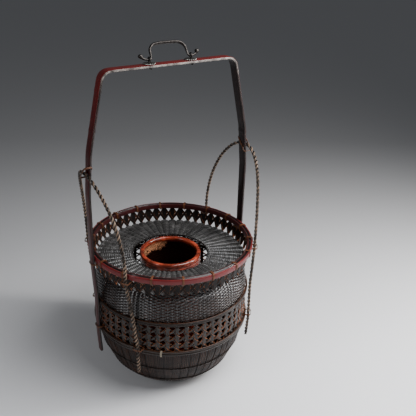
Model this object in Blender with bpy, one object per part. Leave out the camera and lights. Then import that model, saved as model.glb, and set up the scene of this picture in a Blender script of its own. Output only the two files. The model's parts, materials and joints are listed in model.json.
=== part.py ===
"""Ikebana basket: a woven body and tray, a hoop handle with side loops and a swinging bail, and a lift-out water tube.

Metres, +Z up. The basket stands on z = 0 with its centre on the Z axis, and the handle's hoop lies in the XZ plane.
"""

import math

import bmesh
import bpy
from mathutils import Matrix, Vector

# Fit between pieces that touch on the real basket
CLEARANCE = 0.0003

# The same upright stakes run from the bowl to the rim
STAKES = 54
PANELS_PER_TIE = 3
TIE_FIRST_PANEL_SHARE = 1.5
TURNED_STEPS = 36

# Body, from the foot ring up to the neck
BODY_HEIGHT = 0.180
SKIN = 0.0022
# Height as a share of BODY_HEIGHT, radius as a share of BELLY_RADIUS
BODY_OUTLINE_SHARES = (
    (0.028, 0.500), (0.055, 0.610), (0.110, 0.720), (0.200, 0.840), (0.300, 0.915), (0.440, 0.980),
    (0.560, 1.000), (0.650, 1.000), (0.790, 0.990), (0.890, 0.976), (0.956, 0.955), (1.000, 0.915),
)
FOOT_WIDTH = 0.0070
RIB_DEPTH = 0.0009
BOWL_TURN_SHARE = 0.055
LOWER_JOINT_HEIGHT = 0.0910
UPPER_JOINT_HEIGHT = 0.1390
SHOULDER_RINGS = 6
SHOULDER_RIDGE = 0.0005
LACING_HEIGHT_SHARES = (0.150, 0.310)
LACING_SIZE = 0.0016

# Lattice band
LATTICE_CROSSING_SHARES = (0.18, 0.47, 0.76)
LATTICE_STRIP = 0.0040
STAKE_WIDTH = 0.0064

# Hoops round the body
BODY_HOOP_THICKNESS = 0.0026
UPPER_HOOP_HEIGHT = 0.0056
LOWER_HOOP_HEIGHT = 0.0036

# Neck and tray
NECK_RING_HEIGHT = 0.0030
NECK_RING_WIDTH = 0.0050
FLOOR_THICKNESS = 0.0022
FLOOR_RISE = 0.0016
FLOOR_HOLE_RADIUS = 0.0552
PLEAT_DEPTH = 0.0007
RIM_RADIUS = 0.1200
RIM_OVERHANG = 0.0055
TRAY_HEIGHT = 0.0330
RIM_HOOP_HEIGHT = 0.0080
RIM_HOOP_THICKNESS = 0.0028
RIM_ROUNDING = 0.0010
WALL_THICKNESS = 0.0018
WALL_LEAN = 0.0042
WALL_EDGE = 0.0020
WALL_CROSSING = 0.0024

# Cane ties
TIE_THICKNESS = 0.0010
TIE_WIDTH = 0.0026
APEX_TIE_TILT = math.radians(45)

# Handle: one flat strip
STRIP_THICKNESS = 0.0040
STRIP_WIDTH = 0.0160
STRIP_FOOT_WIDTH = 0.0096
STRIP_CROWN = 0.0007
BAR_HEIGHT = 0.4646
BAR_HALF_LENGTH = 0.0960
BAR_CORNER_RADIUS = 0.0150
LEG_BEND_HEIGHT = 0.3620
LEG_BEND_RADIUS = 0.0800
LEG_FOOT_HEIGHT = 0.0520
CORNER_STEPS = 5
FOOT_DRAW_IN = 0.0020

# Side loops of twisted cane
LOOP_RIM_STAKE = 5
LOOP_BODY_STAKE = 6
LOOP_TOP_HEIGHT = 0.3370
LOOP_FOOT_HEIGHT = 0.0550
LOOP_RADIUS = 0.0030
LOOP_STEP = 0.0085
LOOP_TWIST_TURN = math.radians(30)
LOOP_SMOOTH_SHARE = 0.55
LOOP_SIDES = 4
LOOP_ARCH_STEPS = 24

# Bail, its split pins and washers
BAIL_HALF_SPAN = 0.0300
BAIL_RISE = 0.0270
BAIL_LEAN = math.radians(35)
BAIL_ROD_RADIUS = 0.0012
# Across as a share of BAIL_HALF_SPAN, up as a share of BAIL_RISE, half width as a share of BAIL_ROD_RADIUS
BAIL_OUTLINE_SHARES = (
    (0.00, 1.00, 2.10), (0.34, 0.97, 2.00), (0.64, 0.82, 1.80), (0.81, 0.55, 1.50), (0.85, 0.25, 1.25),
    (0.90, 0.04, 1.00), (1.00, 0.00, 1.00), (1.12, 0.01, 1.00), (1.27, 0.09, 1.10), (1.35, 0.25, 1.40),
    (1.34, 0.40, 1.70),
)
BAIL_STEPS = 2
BAIL_SIDES = 6
PIN_WIRE_RADIUS = 0.0009
PIN_EYE_RADIUS = 0.0029
PIN_CLINCH = 0.0060
PIN_STEPS = 9
PIN_SIDES = 5
WASHER_RADIUS = 0.0066
WASHER_THICKNESS = 0.0012
WASHER_STEPS = 20

# Water tube
TUBE_RADIUS = 0.0445
TUBE_WALL = 0.0030
TUBE_STAND_OUT = 0.0106
TUBE_LIP_OUT = 0.0008
TUBE_LIP_IN = 0.0026
TUBE_LIP_HEIGHT = 0.0060
TUBE_BASE = 0.0040

# Places that follow from the sizes above
STAKE_TURN = math.tau / STAKES
BELLY_RADIUS = RIM_RADIUS - RIM_OVERHANG
RIM_HEIGHT = BODY_HEIGHT + TRAY_HEIGHT
TUBE_TOP = BODY_HEIGHT + TUBE_STAND_OUT
WALL_TOP_RADIUS = RIM_RADIUS - RIM_HOOP_THICKNESS - CLEARANCE
WALL_FOOT_RADIUS = WALL_TOP_RADIUS - WALL_LEAN
INNER_HOOP_RADIUS = WALL_TOP_RADIUS - WALL_THICKNESS - CLEARANCE
HOOP_UNDERSIDE = RIM_HEIGHT - RIM_HOOP_HEIGHT
FLOOR_UNDERSIDE = BODY_HEIGHT + NECK_RING_HEIGHT + CLEARANCE + CLEARANCE
LOOP_RIM_TURN = LOOP_RIM_STAKE * STAKE_TURN
LOOP_BODY_TURN = LOOP_BODY_STAKE * STAKE_TURN
RIM_TIE_TOP = HOOP_UNDERSIDE - CLEARANCE - TIE_THICKNESS - CLEARANCE
BODY_TIE_BASE = LOWER_JOINT_HEIGHT + CLEARANCE / 2 + LOWER_HOOP_HEIGHT + CLEARANCE
BAR_TOP = BAR_HEIGHT + STRIP_THICKNESS / 2
BAIL_AXIS_HEIGHT = BAR_TOP + CLEARANCE + WASHER_THICKNESS + CLEARANCE + PIN_WIRE_RADIUS + PIN_EYE_RADIUS


# Materials

def make_material(name, colour, roughness, metallic=0.0):
    """A plain surface of one colour."""
    made = bpy.data.materials.new(name)
    made.use_nodes = True
    shader = made.node_tree.nodes["Principled BSDF"]
    shader.inputs["Base Color"].default_value = (*colour, 1.0)
    shader.inputs["Roughness"].default_value = roughness
    shader.inputs["Metallic"].default_value = metallic
    return made


def make_materials():
    return {
        "smoked_bamboo": make_material("smoked_bamboo", (0.035, 0.024, 0.020), 0.38),
        "dark_weave": make_material("dark_weave", (0.030, 0.024, 0.021), 0.45),
        "red_lacquer": make_material("red_lacquer", (0.180, 0.022, 0.016), 0.30),
        "copper_cane": make_material("copper_cane", (0.230, 0.070, 0.030), 0.50),
        "handle_bamboo": make_material("handle_bamboo", (0.120, 0.030, 0.024), 0.32),
        "twisted_cane": make_material("twisted_cane", (0.060, 0.045, 0.036), 0.55),
        "vermilion": make_material("vermilion", (0.420, 0.045, 0.020), 0.22),
        "dark_iron": make_material("dark_iron", (0.085, 0.080, 0.078), 0.42, 1.0),
    }


# Curves

def curve_value(x, knots):
    """The smooth curve through the (x, y) knots at x: cubic pieces whose slopes follow the neighbouring knots."""
    xs = [knot[0] for knot in knots]
    ys = [knot[1] for knot in knots]
    x = min(max(x, xs[0]), xs[-1])
    i = max(k for k in range(len(xs) - 1) if xs[k] <= x)

    def slope(k):
        low, high = max(k - 1, 0), min(k + 1, len(xs) - 1)
        return (ys[high] - ys[low]) / (xs[high] - xs[low])

    span = xs[i + 1] - xs[i]
    t = (x - xs[i]) / span
    start, end = ys[i], ys[i + 1]
    bend = (slope(i) * (1 - t) - slope(i + 1) * t) * span * t * (1 - t)
    blend = t * t * (3 - 2 * t)
    return start * (1 - blend) + end * blend + bend


def body_radius(height):
    """Outer radius of the woven skin at a height above the floor."""
    return BELLY_RADIUS * curve_value(height / BODY_HEIGHT, BODY_OUTLINE_SHARES)


def filleted(corners, radii, steps):
    """The corner points joined by straight runs, each inner corner rounded to its radius where the runs allow."""
    points = [corners[0]]
    for before, corner, after, radius in zip(corners, corners[1:], corners[2:], radii):
        to_before, to_after = (before - corner), (after - corner)
        half_turn = (math.pi - to_before.angle(to_after)) / 2
        reach = min(radius * math.tan(half_turn), to_before.length / 2, to_after.length / 2)
        start = corner + to_before.normalized() * reach
        end = corner + to_after.normalized() * reach
        for k in range(steps + 1):
            t = k / steps
            points.append(start * (1 - t) ** 2 + corner * 2 * t * (1 - t) + end * t ** 2)
    points.append(corners[-1])
    return points


def resampled(points, step):
    """The same route with points at equal distances of about one step."""
    lengths = [0]
    for a, b in zip(points, points[1:]):
        lengths.append(lengths[-1] + (b - a).length)
    count = max(2, round(lengths[-1] / step))
    found = []
    k = 0
    for i in range(count + 1):
        along = lengths[-1] * i / count
        while k < len(points) - 2 and lengths[k + 1] < along:
            k += 1
        t = (along - lengths[k]) / (lengths[k + 1] - lengths[k])
        found.append(points[k].lerp(points[k + 1], min(max(t, 0), 1)))
    return found


# Meshes

def add_object(name, mesh_builder, material, matrix=None):
    """One named object from a filled bmesh. matrix places it."""
    mesh = bpy.data.meshes.new(name)
    mesh_builder.to_mesh(mesh)
    mesh_builder.free()
    mesh.materials.append(material)
    mesh.shade_smooth()
    mesh.set_sharp_from_angle(angle=math.radians(35))
    made = bpy.data.objects.new(name, mesh)
    bpy.context.scene.collection.objects.link(made)
    if matrix is not None:
        made.matrix_world = matrix
    return made


def add_closed(name, builder, material, matrix=None):
    bmesh.ops.recalc_face_normals(builder, faces=builder.faces)
    return add_object(name, builder, material, matrix)


def on_circle(radius, turn, height):
    return Vector((radius * math.cos(turn), radius * math.sin(turn), height))


def join_rows(builder, rows, closed_rows=True, closed_round=True):
    """Faces between neighbouring rows of vertices, each row running round."""
    last_row = len(rows) if closed_rows else len(rows) - 1
    for k in range(last_row):
        lower, upper = rows[k], rows[(k + 1) % len(rows)]
        around = len(lower) if closed_round else len(lower) - 1
        for i in range(around):
            j = (i + 1) % len(lower)
            builder.faces.new((lower[i], lower[j], upper[j], upper[i]))


def turned_ring(name, outline, material, steps=STAKES):
    """A closed (radius, height) outline turned round the Z axis."""
    builder = bmesh.new()
    rows = []
    for radius, height in outline:
        rows.append([builder.verts.new(on_circle(radius, math.tau * i / steps, height)) for i in range(steps)])
    join_rows(builder, rows)
    return add_closed(name, builder, material)


def turned_vessel(name, outline, material, steps):
    """An outline that starts and ends on the Z axis, turned round it."""
    builder = bmesh.new()
    rows = []
    for radius, height in outline[1:-1]:
        rows.append([builder.verts.new(on_circle(radius, math.tau * i / steps, height)) for i in range(steps)])
    join_rows(builder, rows, closed_rows=False)
    for (radius, height), row in ((outline[0], rows[0]), (outline[-1], rows[-1])):
        pole = builder.verts.new((0, 0, height))
        for i in range(steps):
            builder.faces.new((pole, row[i], row[(i + 1) % steps]))
    return add_closed(name, builder, material)


def inner_outline(outline, thickness):
    """The outline moved in by a wall's thickness. An end off the axis moves level, so that it meets its neighbour."""
    moved = []
    for k, (radius, height) in enumerate(outline):
        before, after = outline[max(k - 1, 0)], outline[min(k + 1, len(outline) - 1)]
        run = Vector((after[0] - before[0], after[1] - before[1])).normalized()
        if k in (0, len(outline) - 1) and radius > 0:
            moved.append((radius - thickness, height))
        else:
            moved.append((max(radius - thickness * run.y, 0), height + thickness * run.x))
    return moved


def woven_shell(name, outline, draw_in, around, material):
    """A wall of SKIN thickness turned round Z. draw_in(row, column) gives how far each place lies inside the outline."""
    builder = bmesh.new()
    walls = []
    for line in (outline, inner_outline(outline, SKIN)):
        rows = []
        for k, (radius, height) in enumerate(line):
            if radius > 0:
                rows.append([
                    builder.verts.new(on_circle(radius - draw_in(k, i), math.tau * i / around, height))
                    for i in range(around)
                ])
        walls.append(rows)
    outer, inner = walls
    has_base = outline[0][0] == 0
    join_rows(builder, outer + inner[::-1], closed_rows=not has_base)
    if has_base:
        for rows, height in ((outer, outline[0][1]), (inner, outline[0][1] + SKIN)):
            centre = builder.verts.new((0, 0, height))
            for i in range(around):
                builder.faces.new((centre, rows[0][i], rows[0][(i + 1) % around]))
    add_closed(name, builder, material)


def ring_section(inner, outer, low, high, rounding=0):
    """A four-sided ring section. With a rounding its two outer edges are bevelled."""
    if not rounding:
        return [(inner, low), (outer, low), (outer, high), (inner, high)]
    return [
        (inner, low), (outer - rounding, low), (outer, low + rounding),
        (outer, high - rounding), (outer - rounding, high), (inner, high),
    ]


def swept(name, route, sections, sides, material, matrix=None):
    """Sections moved along a route. sides gives the direction across the route that each section's first axis takes."""
    builder = bmesh.new()
    rows = []
    for k, (point, section, side) in enumerate(zip(route, sections, sides)):
        tangent = (route[min(k + 1, len(route) - 1)] - route[max(k - 1, 0)]).normalized()
        across = (side - tangent * side.dot(tangent)).normalized()
        normal = tangent.cross(across)
        rows.append([builder.verts.new(point + across * a + normal * b) for a, b in section])
    join_rows(builder, rows, closed_rows=False)
    builder.faces.new(rows[0])
    builder.faces.new(rows[-1])
    return add_closed(name, builder, material, matrix)


def polygon(radius, sides, turn=0.0, flat=1.0):
    """A regular section, flattened across its second axis."""
    return [
        (radius * math.cos(turn + math.tau * k / sides), radius * flat * math.sin(turn + math.tau * k / sides))
        for k in range(sides)
    ]


def tie_ring(name, low, high, half_width, band, material, matrix):
    """A cane tie: a closed band round an oblong. low and high bound it along local X, half_width along local Y."""
    cut = TIE_THICKNESS / 2
    builder = bmesh.new()
    rows = []
    for grow, side in ((0, -1), (0, 1), (TIE_THICKNESS, 1), (TIE_THICKNESS, -1)):
        left, right, half = low - grow, high + grow, half_width + grow
        trim = cut if grow else 0
        outline = [
            (left + trim, -half), (right - trim, -half), (right, trim - half), (right, half - trim),
            (right - trim, half), (left + trim, half), (left, half - trim), (left, trim - half),
        ]
        if not grow:
            outline = [outline[0], outline[1], outline[4], outline[5]]
        rows.append([builder.verts.new((x, y, side * band / 2)) for x, y in outline])
    inner_low, inner_high, outer_high, outer_low = rows
    join_rows(builder, [inner_low, inner_high], closed_rows=False)
    join_rows(builder, [outer_high, outer_low], closed_rows=False)
    for inner, outer in ((inner_low, outer_low), (inner_high, outer_high)):
        for corner in range(4):
            bottom_left = (2 * corner - 1) % 8
            builder.faces.new((inner[corner], outer[bottom_left], outer[2 * corner]))
            following = (corner + 1) % 4
            builder.faces.new((inner[corner], outer[2 * corner], outer[2 * corner + 1], inner[following]))
    return add_closed(name, builder, material, matrix)


# Open-work walls

def add_openwork(name, cells, radius_at, thickness, material):
    """A ring of open cells. Each cell face lists (across, height) corners, across from 0 to 1 between two stakes."""
    builder = bmesh.new()
    known = {}

    def vertex(across, height):
        key = (round(across, 6) % STAKES, round(height, 9))
        if key not in known:
            known[key] = builder.verts.new(on_circle(radius_at(height), across * STAKE_TURN, height))
        return known[key]

    for column in range(STAKES):
        for face in cells:
            builder.faces.new([vertex(column + across, height) for across, height in face])
    inner = {}
    for corner in list(builder.verts):
        level = Vector((corner.co.x, corner.co.y, 0)).normalized()
        inner[corner] = builder.verts.new(corner.co - level * thickness)
    edges = [(edge.link_loops[0].vert, edge.link_loops[0].link_loop_next.vert)
             for edge in builder.edges if edge.is_boundary]
    for face in list(builder.faces):
        builder.faces.new([inner[corner] for corner in reversed(face.verts)])
    for start, end in edges:
        builder.faces.new((end, start, inner[start], inner[end]))
    return add_closed(name, builder, material)


def diamond_cell(low, high, stake_share, strip):
    """The strips round one full opening: corners on the stakes, tips under the crossings."""
    bottom_left, bottom_right, top_right, top_left = (0, low), (1, low), (1, high), (0, high)
    middle = (low + high) / 2
    bottom, top = (0.5, low + strip / 2), (0.5, high - strip / 2)
    left, right = (stake_share / 2, middle), (1 - stake_share / 2, middle)
    return [
        (bottom_left, bottom_right, bottom), (bottom_right, top_right, right),
        (top_right, top_left, top), (top_left, bottom_left, left),
        (bottom_left, bottom, left), (bottom_right, right, bottom),
        (top_right, top, right), (top_left, left, top),
    ]


def half_cell(tip_side, edge_side, stake_share, strip):
    """The strips beside a half opening: its tip towards the next crossing, its flat side closed by a hoop."""
    inward = math.copysign(1, tip_side - edge_side)
    tip = (0.5, tip_side - inward * strip / 2)
    left, right = (stake_share / 2, edge_side), (1 - stake_share / 2, edge_side)
    near_left, near_right = (0, tip_side), (1, tip_side)
    far_left, far_right = (0, edge_side), (1, edge_side)
    faces = [
        (far_left, left, near_left), (far_right, near_right, right),
        (near_left, left, tip), (near_right, tip, right), (near_left, tip, near_right),
    ]
    return faces if inward > 0 else [face[::-1] for face in faces]


# Pieces of the body

def make_foot_ring(look):
    outer = body_radius(0) + FOOT_WIDTH / 2
    top = BODY_OUTLINE_SHARES[0][0] * BODY_HEIGHT - CLEARANCE
    section = ring_section(outer - FOOT_WIDTH, outer, 0, top)
    turned_ring("foot_ring", section, look["smoked_bamboo"])


def make_bowl(look):
    """The flat base and the ribbed side: every second line of vertices lies in the groove between two ribs."""
    base = BODY_OUTLINE_SHARES[0][0] * BODY_HEIGHT
    heights = [base]
    heights += [share * BODY_HEIGHT for share in (BOWL_TURN_SHARE, *LACING_HEIGHT_SHARES)]
    heights += [LOWER_JOINT_HEIGHT - CLEARANCE / 2]
    outline = [(0, base)]
    outline += [(body_radius(height), height) for height in heights]
    woven_shell(
        "bowl", outline, lambda row, column: RIB_DEPTH * (column % 2) if row > 1 else 0, 2 * STAKES,
        look["smoked_bamboo"],
    )


def make_bowl_lacings(look):
    for name, share in zip(("bowl_lacing_lower", "bowl_lacing_upper"), LACING_HEIGHT_SHARES):
        height = share * BODY_HEIGHT
        low, high = height - LACING_SIZE / 2, height + LACING_SIZE / 2
        section = [
            (body_radius(low) + CLEARANCE, low), (body_radius(height) + CLEARANCE + LACING_SIZE, height),
            (body_radius(high) + CLEARANCE, high),
        ]
        turned_ring(name, section, look["smoked_bamboo"])


def body_hoop(name, low, high, look):
    """A hoop that lies on the skin between two heights."""
    section = [
        (body_radius(low) + CLEARANCE, low), (body_radius(low) + CLEARANCE + BODY_HOOP_THICKNESS, low),
        (body_radius(high) + CLEARANCE + BODY_HOOP_THICKNESS, high), (body_radius(high) + CLEARANCE, high),
    ]
    turned_ring(name, section, look["smoked_bamboo"])


def make_body_hoops(look):
    body_hoop(
        "lower_hoop_bottom", LOWER_JOINT_HEIGHT - CLEARANCE / 2 - LOWER_HOOP_HEIGHT,
        LOWER_JOINT_HEIGHT - CLEARANCE / 2, look,
    )
    body_hoop(
        "lower_hoop_top", LOWER_JOINT_HEIGHT + CLEARANCE / 2,
        LOWER_JOINT_HEIGHT + CLEARANCE / 2 + LOWER_HOOP_HEIGHT, look,
    )
    body_hoop(
        "upper_hoop", UPPER_JOINT_HEIGHT - UPPER_HOOP_HEIGHT / 2, UPPER_JOINT_HEIGHT + UPPER_HOOP_HEIGHT / 2, look,
    )


def lattice_levels():
    """The band's lower edge, the heights of the crossings between its two hoops, and its upper edge."""
    low = LOWER_JOINT_HEIGHT + CLEARANCE / 2
    high = UPPER_JOINT_HEIGHT - CLEARANCE / 2
    foot = low + LOWER_HOOP_HEIGHT
    open_height = high - UPPER_HOOP_HEIGHT / 2 - foot
    return [low] + [foot + share * open_height for share in LATTICE_CROSSING_SHARES] + [high]


def make_lattice_band(look):
    """The open weave: stakes with two diagonals that cross between them at every level."""
    levels = lattice_levels()
    stake_share = STAKE_WIDTH / (BELLY_RADIUS * STAKE_TURN)
    cells = half_cell(levels[1], levels[0], stake_share, LATTICE_STRIP)
    for low, high in zip(levels[1:-2], levels[2:-1]):
        cells += diamond_cell(low, high, stake_share, LATTICE_STRIP)
    cells += half_cell(levels[-2], levels[-1], stake_share, LATTICE_STRIP)
    add_openwork("lattice_band", cells, body_radius, SKIN, look["dark_weave"])


def make_shoulder(look):
    """The close weave, with every second ring of its rows drawn in."""
    low = UPPER_JOINT_HEIGHT + CLEARANCE / 2
    heights = [low + (BODY_HEIGHT - low) * k / (SHOULDER_RINGS - 1) for k in range(SHOULDER_RINGS)]
    outline = [(body_radius(height), height) for height in heights]
    woven_shell("shoulder", outline, lambda row, column: SHOULDER_RIDGE * (row % 2), STAKES, look["dark_weave"])


# Pieces of the tray

def make_neck_ring(look):
    outer = body_radius(BODY_HEIGHT)
    low = BODY_HEIGHT + CLEARANCE
    section = ring_section(outer - NECK_RING_WIDTH, outer, low, low + NECK_RING_HEIGHT)
    turned_ring("neck_ring", section, look["smoked_bamboo"])


def make_tray_floor(look):
    """A shallow disc whose woven face runs in pleats from the hole to the wall."""
    builder = bmesh.new()
    around = 2 * STAKES
    low = FLOOR_UNDERSIDE + CLEARANCE
    edge = WALL_FOOT_RADIUS - WALL_THICKNESS - CLEARANCE
    rows = []
    for radius, height in ((FLOOR_HOLE_RADIUS, low + FLOOR_RISE + FLOOR_THICKNESS), (edge, low + FLOOR_THICKNESS)):
        row = []
        for i in range(around):
            drop = PLEAT_DEPTH * (i % 2)
            row.append(builder.verts.new(on_circle(radius, math.tau * i / around, height - drop)))
        rows.append(row)
    underside = []
    for radius, height in ((edge, low), (FLOOR_HOLE_RADIUS, low + FLOOR_RISE)):
        underside.append([builder.verts.new(on_circle(radius, math.tau * i / around, height)) for i in range(around)])
    join_rows(builder, rows + underside)
    add_closed("tray_floor", builder, look["dark_weave"])


def wall_radius(height):
    """The wall stands upright between the hoops and leans in below them."""
    fall = min(max((HOOP_UNDERSIDE - height) / (HOOP_UNDERSIDE - FLOOR_UNDERSIDE), 0), 1)
    return WALL_TOP_RADIUS - WALL_LEAN * fall


def wall_share():
    return STAKE_WIDTH / (WALL_TOP_RADIUS * STAKE_TURN)


def make_tray_wall(look):
    """Each panel between two stakes has an opening above the crossing and one below it."""
    share = wall_share()
    low = FLOOR_UNDERSIDE + CLEARANCE
    hole_low = low + FLOOR_THICKNESS + WALL_EDGE
    middle = (hole_low + HOOP_UNDERSIDE) / 2
    tip_high, tip_low = (0.5, middle + WALL_CROSSING / 2), (0.5, middle - WALL_CROSSING / 2)
    top = [(0, RIM_HEIGHT), (1, RIM_HEIGHT)]
    base = [(0, low), (1, low)]
    left_mid, right_mid = (0, middle), (1, middle)
    high_left, high_right = (share / 2, HOOP_UNDERSIDE), (1 - share / 2, HOOP_UNDERSIDE)
    low_left, low_right = (share / 2, hole_low), (1 - share / 2, hole_low)
    stake_left, stake_right = (0, HOOP_UNDERSIDE), (1, HOOP_UNDERSIDE)
    cells = [
        (top[1], top[0], stake_left, high_left, high_right, stake_right),
        (stake_left, left_mid, tip_high, high_left), (right_mid, stake_right, high_right, tip_high),
        (left_mid, tip_low, tip_high), (tip_low, right_mid, tip_high),
        (left_mid, base[0], low_left, tip_low), (base[1], right_mid, tip_low, low_right),
        (base[0], base[1], low_right, low_left),
    ]
    add_openwork("tray_wall", cells, wall_radius, WALL_THICKNESS, look["smoked_bamboo"])


def make_rim_hoops(look):
    outer = ring_section(
        RIM_RADIUS - RIM_HOOP_THICKNESS, RIM_RADIUS, HOOP_UNDERSIDE, RIM_HEIGHT, RIM_ROUNDING,
    )
    turned_ring("rim_outer_hoop", outer, look["red_lacquer"])
    inner = ring_section(
        INNER_HOOP_RADIUS - RIM_HOOP_THICKNESS, INNER_HOOP_RADIUS, HOOP_UNDERSIDE, RIM_HEIGHT,
    )
    turned_ring("rim_inner_hoop", inner, look["smoked_bamboo"])


def make_rim_ties(look):
    """Each tie goes over both hoops and back through the opening under them."""
    flat_share = math.cos(STAKE_TURN / 2)
    low = flat_share * (INNER_HOOP_RADIUS - RIM_HOOP_THICKNESS) - CLEARANCE
    high = flat_share * RIM_RADIUS + CLEARANCE
    middle = (RIM_HEIGHT + HOOP_UNDERSIDE) / 2
    upright = Matrix.Rotation(math.pi / 2, 4, "X")
    for k in range(STAKES // PANELS_PER_TIE):
        turn = (TIE_FIRST_PANEL_SHARE + PANELS_PER_TIE * k) * STAKE_TURN
        place = Matrix.Rotation(turn, 4, "Z") @ Matrix.Translation((0, 0, middle)) @ upright
        half = RIM_HOOP_HEIGHT / 2 + CLEARANCE
        tie_ring(f"rim_tie_{k + 1:02d}", low, high, half, TIE_WIDTH, look["copper_cane"], place)


# Handle and side loops

def hoop_face(low, high):
    """Outer radius of a body hoop that spans two heights."""
    return max(body_radius(low), body_radius(high)) + CLEARANCE + BODY_HOOP_THICKNESS


def side_places(half_thickness):
    """(radius, height) of a strip's or cane's centre where it passes the rim, the hoops and the bowl."""
    upper_low, upper_high = UPPER_JOINT_HEIGHT - UPPER_HOOP_HEIGHT / 2, UPPER_JOINT_HEIGHT + UPPER_HOOP_HEIGHT / 2
    lower_low, lower_high = LOWER_JOINT_HEIGHT - LOWER_HOOP_HEIGHT, LOWER_JOINT_HEIGHT + LOWER_HOOP_HEIGHT
    stand_off = CLEARANCE + half_thickness
    upper = hoop_face(upper_low, upper_high) + stand_off
    lower = hoop_face(lower_low, lower_high) + stand_off
    return [
        (RIM_RADIUS + stand_off, RIM_HEIGHT), (RIM_RADIUS + stand_off, HOOP_UNDERSIDE),
        (upper, upper_high), (upper, upper_low), (lower, lower_high), (lower, lower_low - CLEARANCE),
    ]


def hanging_end(half_thickness, foot_height):
    """(radius, height) of the same centre at its foot: the end hangs almost straight down, clear of the bowl."""
    lowest_seat = side_places(half_thickness)[-1][0]
    return [(lowest_seat - FOOT_DRAW_IN, foot_height)]


def strip_width(height):
    """The strip keeps its full width down to the rim and narrows below it."""
    fall = min(max((RIM_HEIGHT - height) / (RIM_HEIGHT - LEG_FOOT_HEIGHT), 0), 1)
    wide = STRIP_WIDTH - (STRIP_WIDTH - STRIP_FOOT_WIDTH) * fall
    slim = min(max((LEG_BEND_HEIGHT - height) / (LEG_BEND_HEIGHT - RIM_HEIGHT), 0), 1)
    return wide - (STRIP_WIDTH - STRIP_FOOT_WIDTH) / 2 * slim * (1 - fall)


def leg_x():
    return RIM_RADIUS + CLEARANCE + STRIP_THICKNESS / 2


def strip_route():
    """The strip's centre line from the left foot over the bar to the right foot."""
    side = side_places(STRIP_THICKNESS / 2) + hanging_end(STRIP_THICKNESS / 2, LEG_FOOT_HEIGHT)
    half = [(BAR_HALF_LENGTH, BAR_HEIGHT), (leg_x(), LEG_BEND_HEIGHT)] + side
    corners = [Vector((-x, 0, z)) for x, z in half[::-1]] + [Vector((x, 0, z)) for x, z in half]
    radii = [STRIP_THICKNESS] * (len(side) - 1) + [LEG_BEND_RADIUS, BAR_CORNER_RADIUS]
    return filleted(corners, radii + radii[::-1], CORNER_STEPS)


def thinned(route, least):
    """Drops points that lie closer than least to the one before."""
    kept = [route[0]]
    for point in route[1:-1]:
        if (point - kept[-1]).length >= least and (point - route[-1]).length >= least:
            kept.append(point)
    return kept + [route[-1]]


def make_handle(look):
    """One flat strip with a slightly crowned skin, and a hole in the bar for each split pin."""
    route = thinned(strip_route(), STRIP_THICKNESS)
    sections = []
    for point in route:
        half = strip_width(point.z) / 2
        deep = STRIP_THICKNESS / 2
        sections.append([
            (-half, -deep), (half, -deep), (half, deep - STRIP_CROWN), (half / 2, deep), (-half / 2, deep),
            (-half, deep - STRIP_CROWN),
        ])
    across = Vector((0, 1, 0))
    made = swept("handle_hoop", route, sections, [across] * len(route), look["handle_bamboo"])
    hole_radius = PIN_WIRE_RADIUS + PIN_WIRE_RADIUS + CLEARANCE + CLEARANCE
    for side, word in ((1, "right"), (-1, "left")):
        cutter = bpy.data.meshes.new(f"pin_hole_{word}")
        builder = bmesh.new()
        bmesh.ops.create_cone(
            builder, cap_ends=True, segments=TURNED_STEPS // 3, radius1=hole_radius, radius2=hole_radius,
            depth=STRIP_THICKNESS * 3,
        )
        builder.to_mesh(cutter)
        builder.free()
        tool = bpy.data.objects.new(f"pin_hole_{word}", cutter)
        bpy.context.scene.collection.objects.link(tool)
        tool.location = (side * BAIL_HALF_SPAN, 0, BAR_HEIGHT)
        tool.hide_render = True
        tool.display_type = "WIRE"
        hole = made.modifiers.new(f"pin_hole_{word}", "BOOLEAN")
        hole.operation = "DIFFERENCE"
        hole.solver = "EXACT"
        hole.object = tool


def loop_turn(height):
    """Turn of a loop's strand from the handle: upright at each tie, and leaning over to another stake between."""
    low, high = BODY_TIE_BASE + TIE_WIDTH, RIM_TIE_TOP - TIE_WIDTH
    fall = min(max((high - height) / (high - low), 0), 1)
    return LOOP_RIM_TURN + (LOOP_BODY_TURN - LOOP_RIM_TURN) * fall


def loop_route():
    """From one hanging end, up past the hoops, over the leg in an arch, and down to the other end."""
    places = side_places(LOOP_RADIUS)
    upright = [(places[1][0], RIM_TIE_TOP - TIE_WIDTH), *places[2:4], (places[4][0], BODY_TIE_BASE + TIE_WIDTH)]
    down = places[1:2] + upright + places[4:] + hanging_end(LOOP_RADIUS, LOOP_FOOT_HEIGHT)
    rising = [on_circle(radius, -loop_turn(height), height) for radius, height in down[::-1]]
    apex_radius = leg_x() + STRIP_THICKNESS / 2 + CLEARANCE + LOOP_RADIUS
    rim_radius = RIM_RADIUS + CLEARANCE + LOOP_RADIUS
    arch = []
    for k in range(LOOP_ARCH_STEPS + 1):
        turn = math.pi * k / LOOP_ARCH_STEPS
        height = RIM_HEIGHT + (LOOP_TOP_HEIGHT - RIM_HEIGHT) * math.sin(turn)
        radius = rim_radius + (apex_radius - rim_radius) * math.sin(turn)
        arch.append(on_circle(radius, -LOOP_RIM_TURN * math.cos(turn), height))
    falling = [Vector((point.x, -point.y, point.z)) for point in rising[::-1]]
    return rising + arch + falling


def make_side_loops(look):
    """A cane that runs smooth over the top of its arch and is twisted below."""
    route = resampled(loop_route(), LOOP_STEP)
    smooth_above = RIM_HEIGHT + LOOP_SMOOTH_SHARE * (LOOP_TOP_HEIGHT - RIM_HEIGHT)
    turn = 0.0
    sections = []
    sides = []
    for point in route:
        turn += LOOP_TWIST_TURN if point.z < smooth_above else 0
        sections.append(polygon(LOOP_RADIUS, LOOP_SIDES, turn))
        sides.append(Vector((point.x, point.y, 0)).normalized())
    for word, spin in (("right", 0), ("left", math.pi)):
        place = Matrix.Rotation(spin, 4, "Z")
        swept(f"side_loop_{word}", route, sections, sides, look["twisted_cane"], place)


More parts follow.
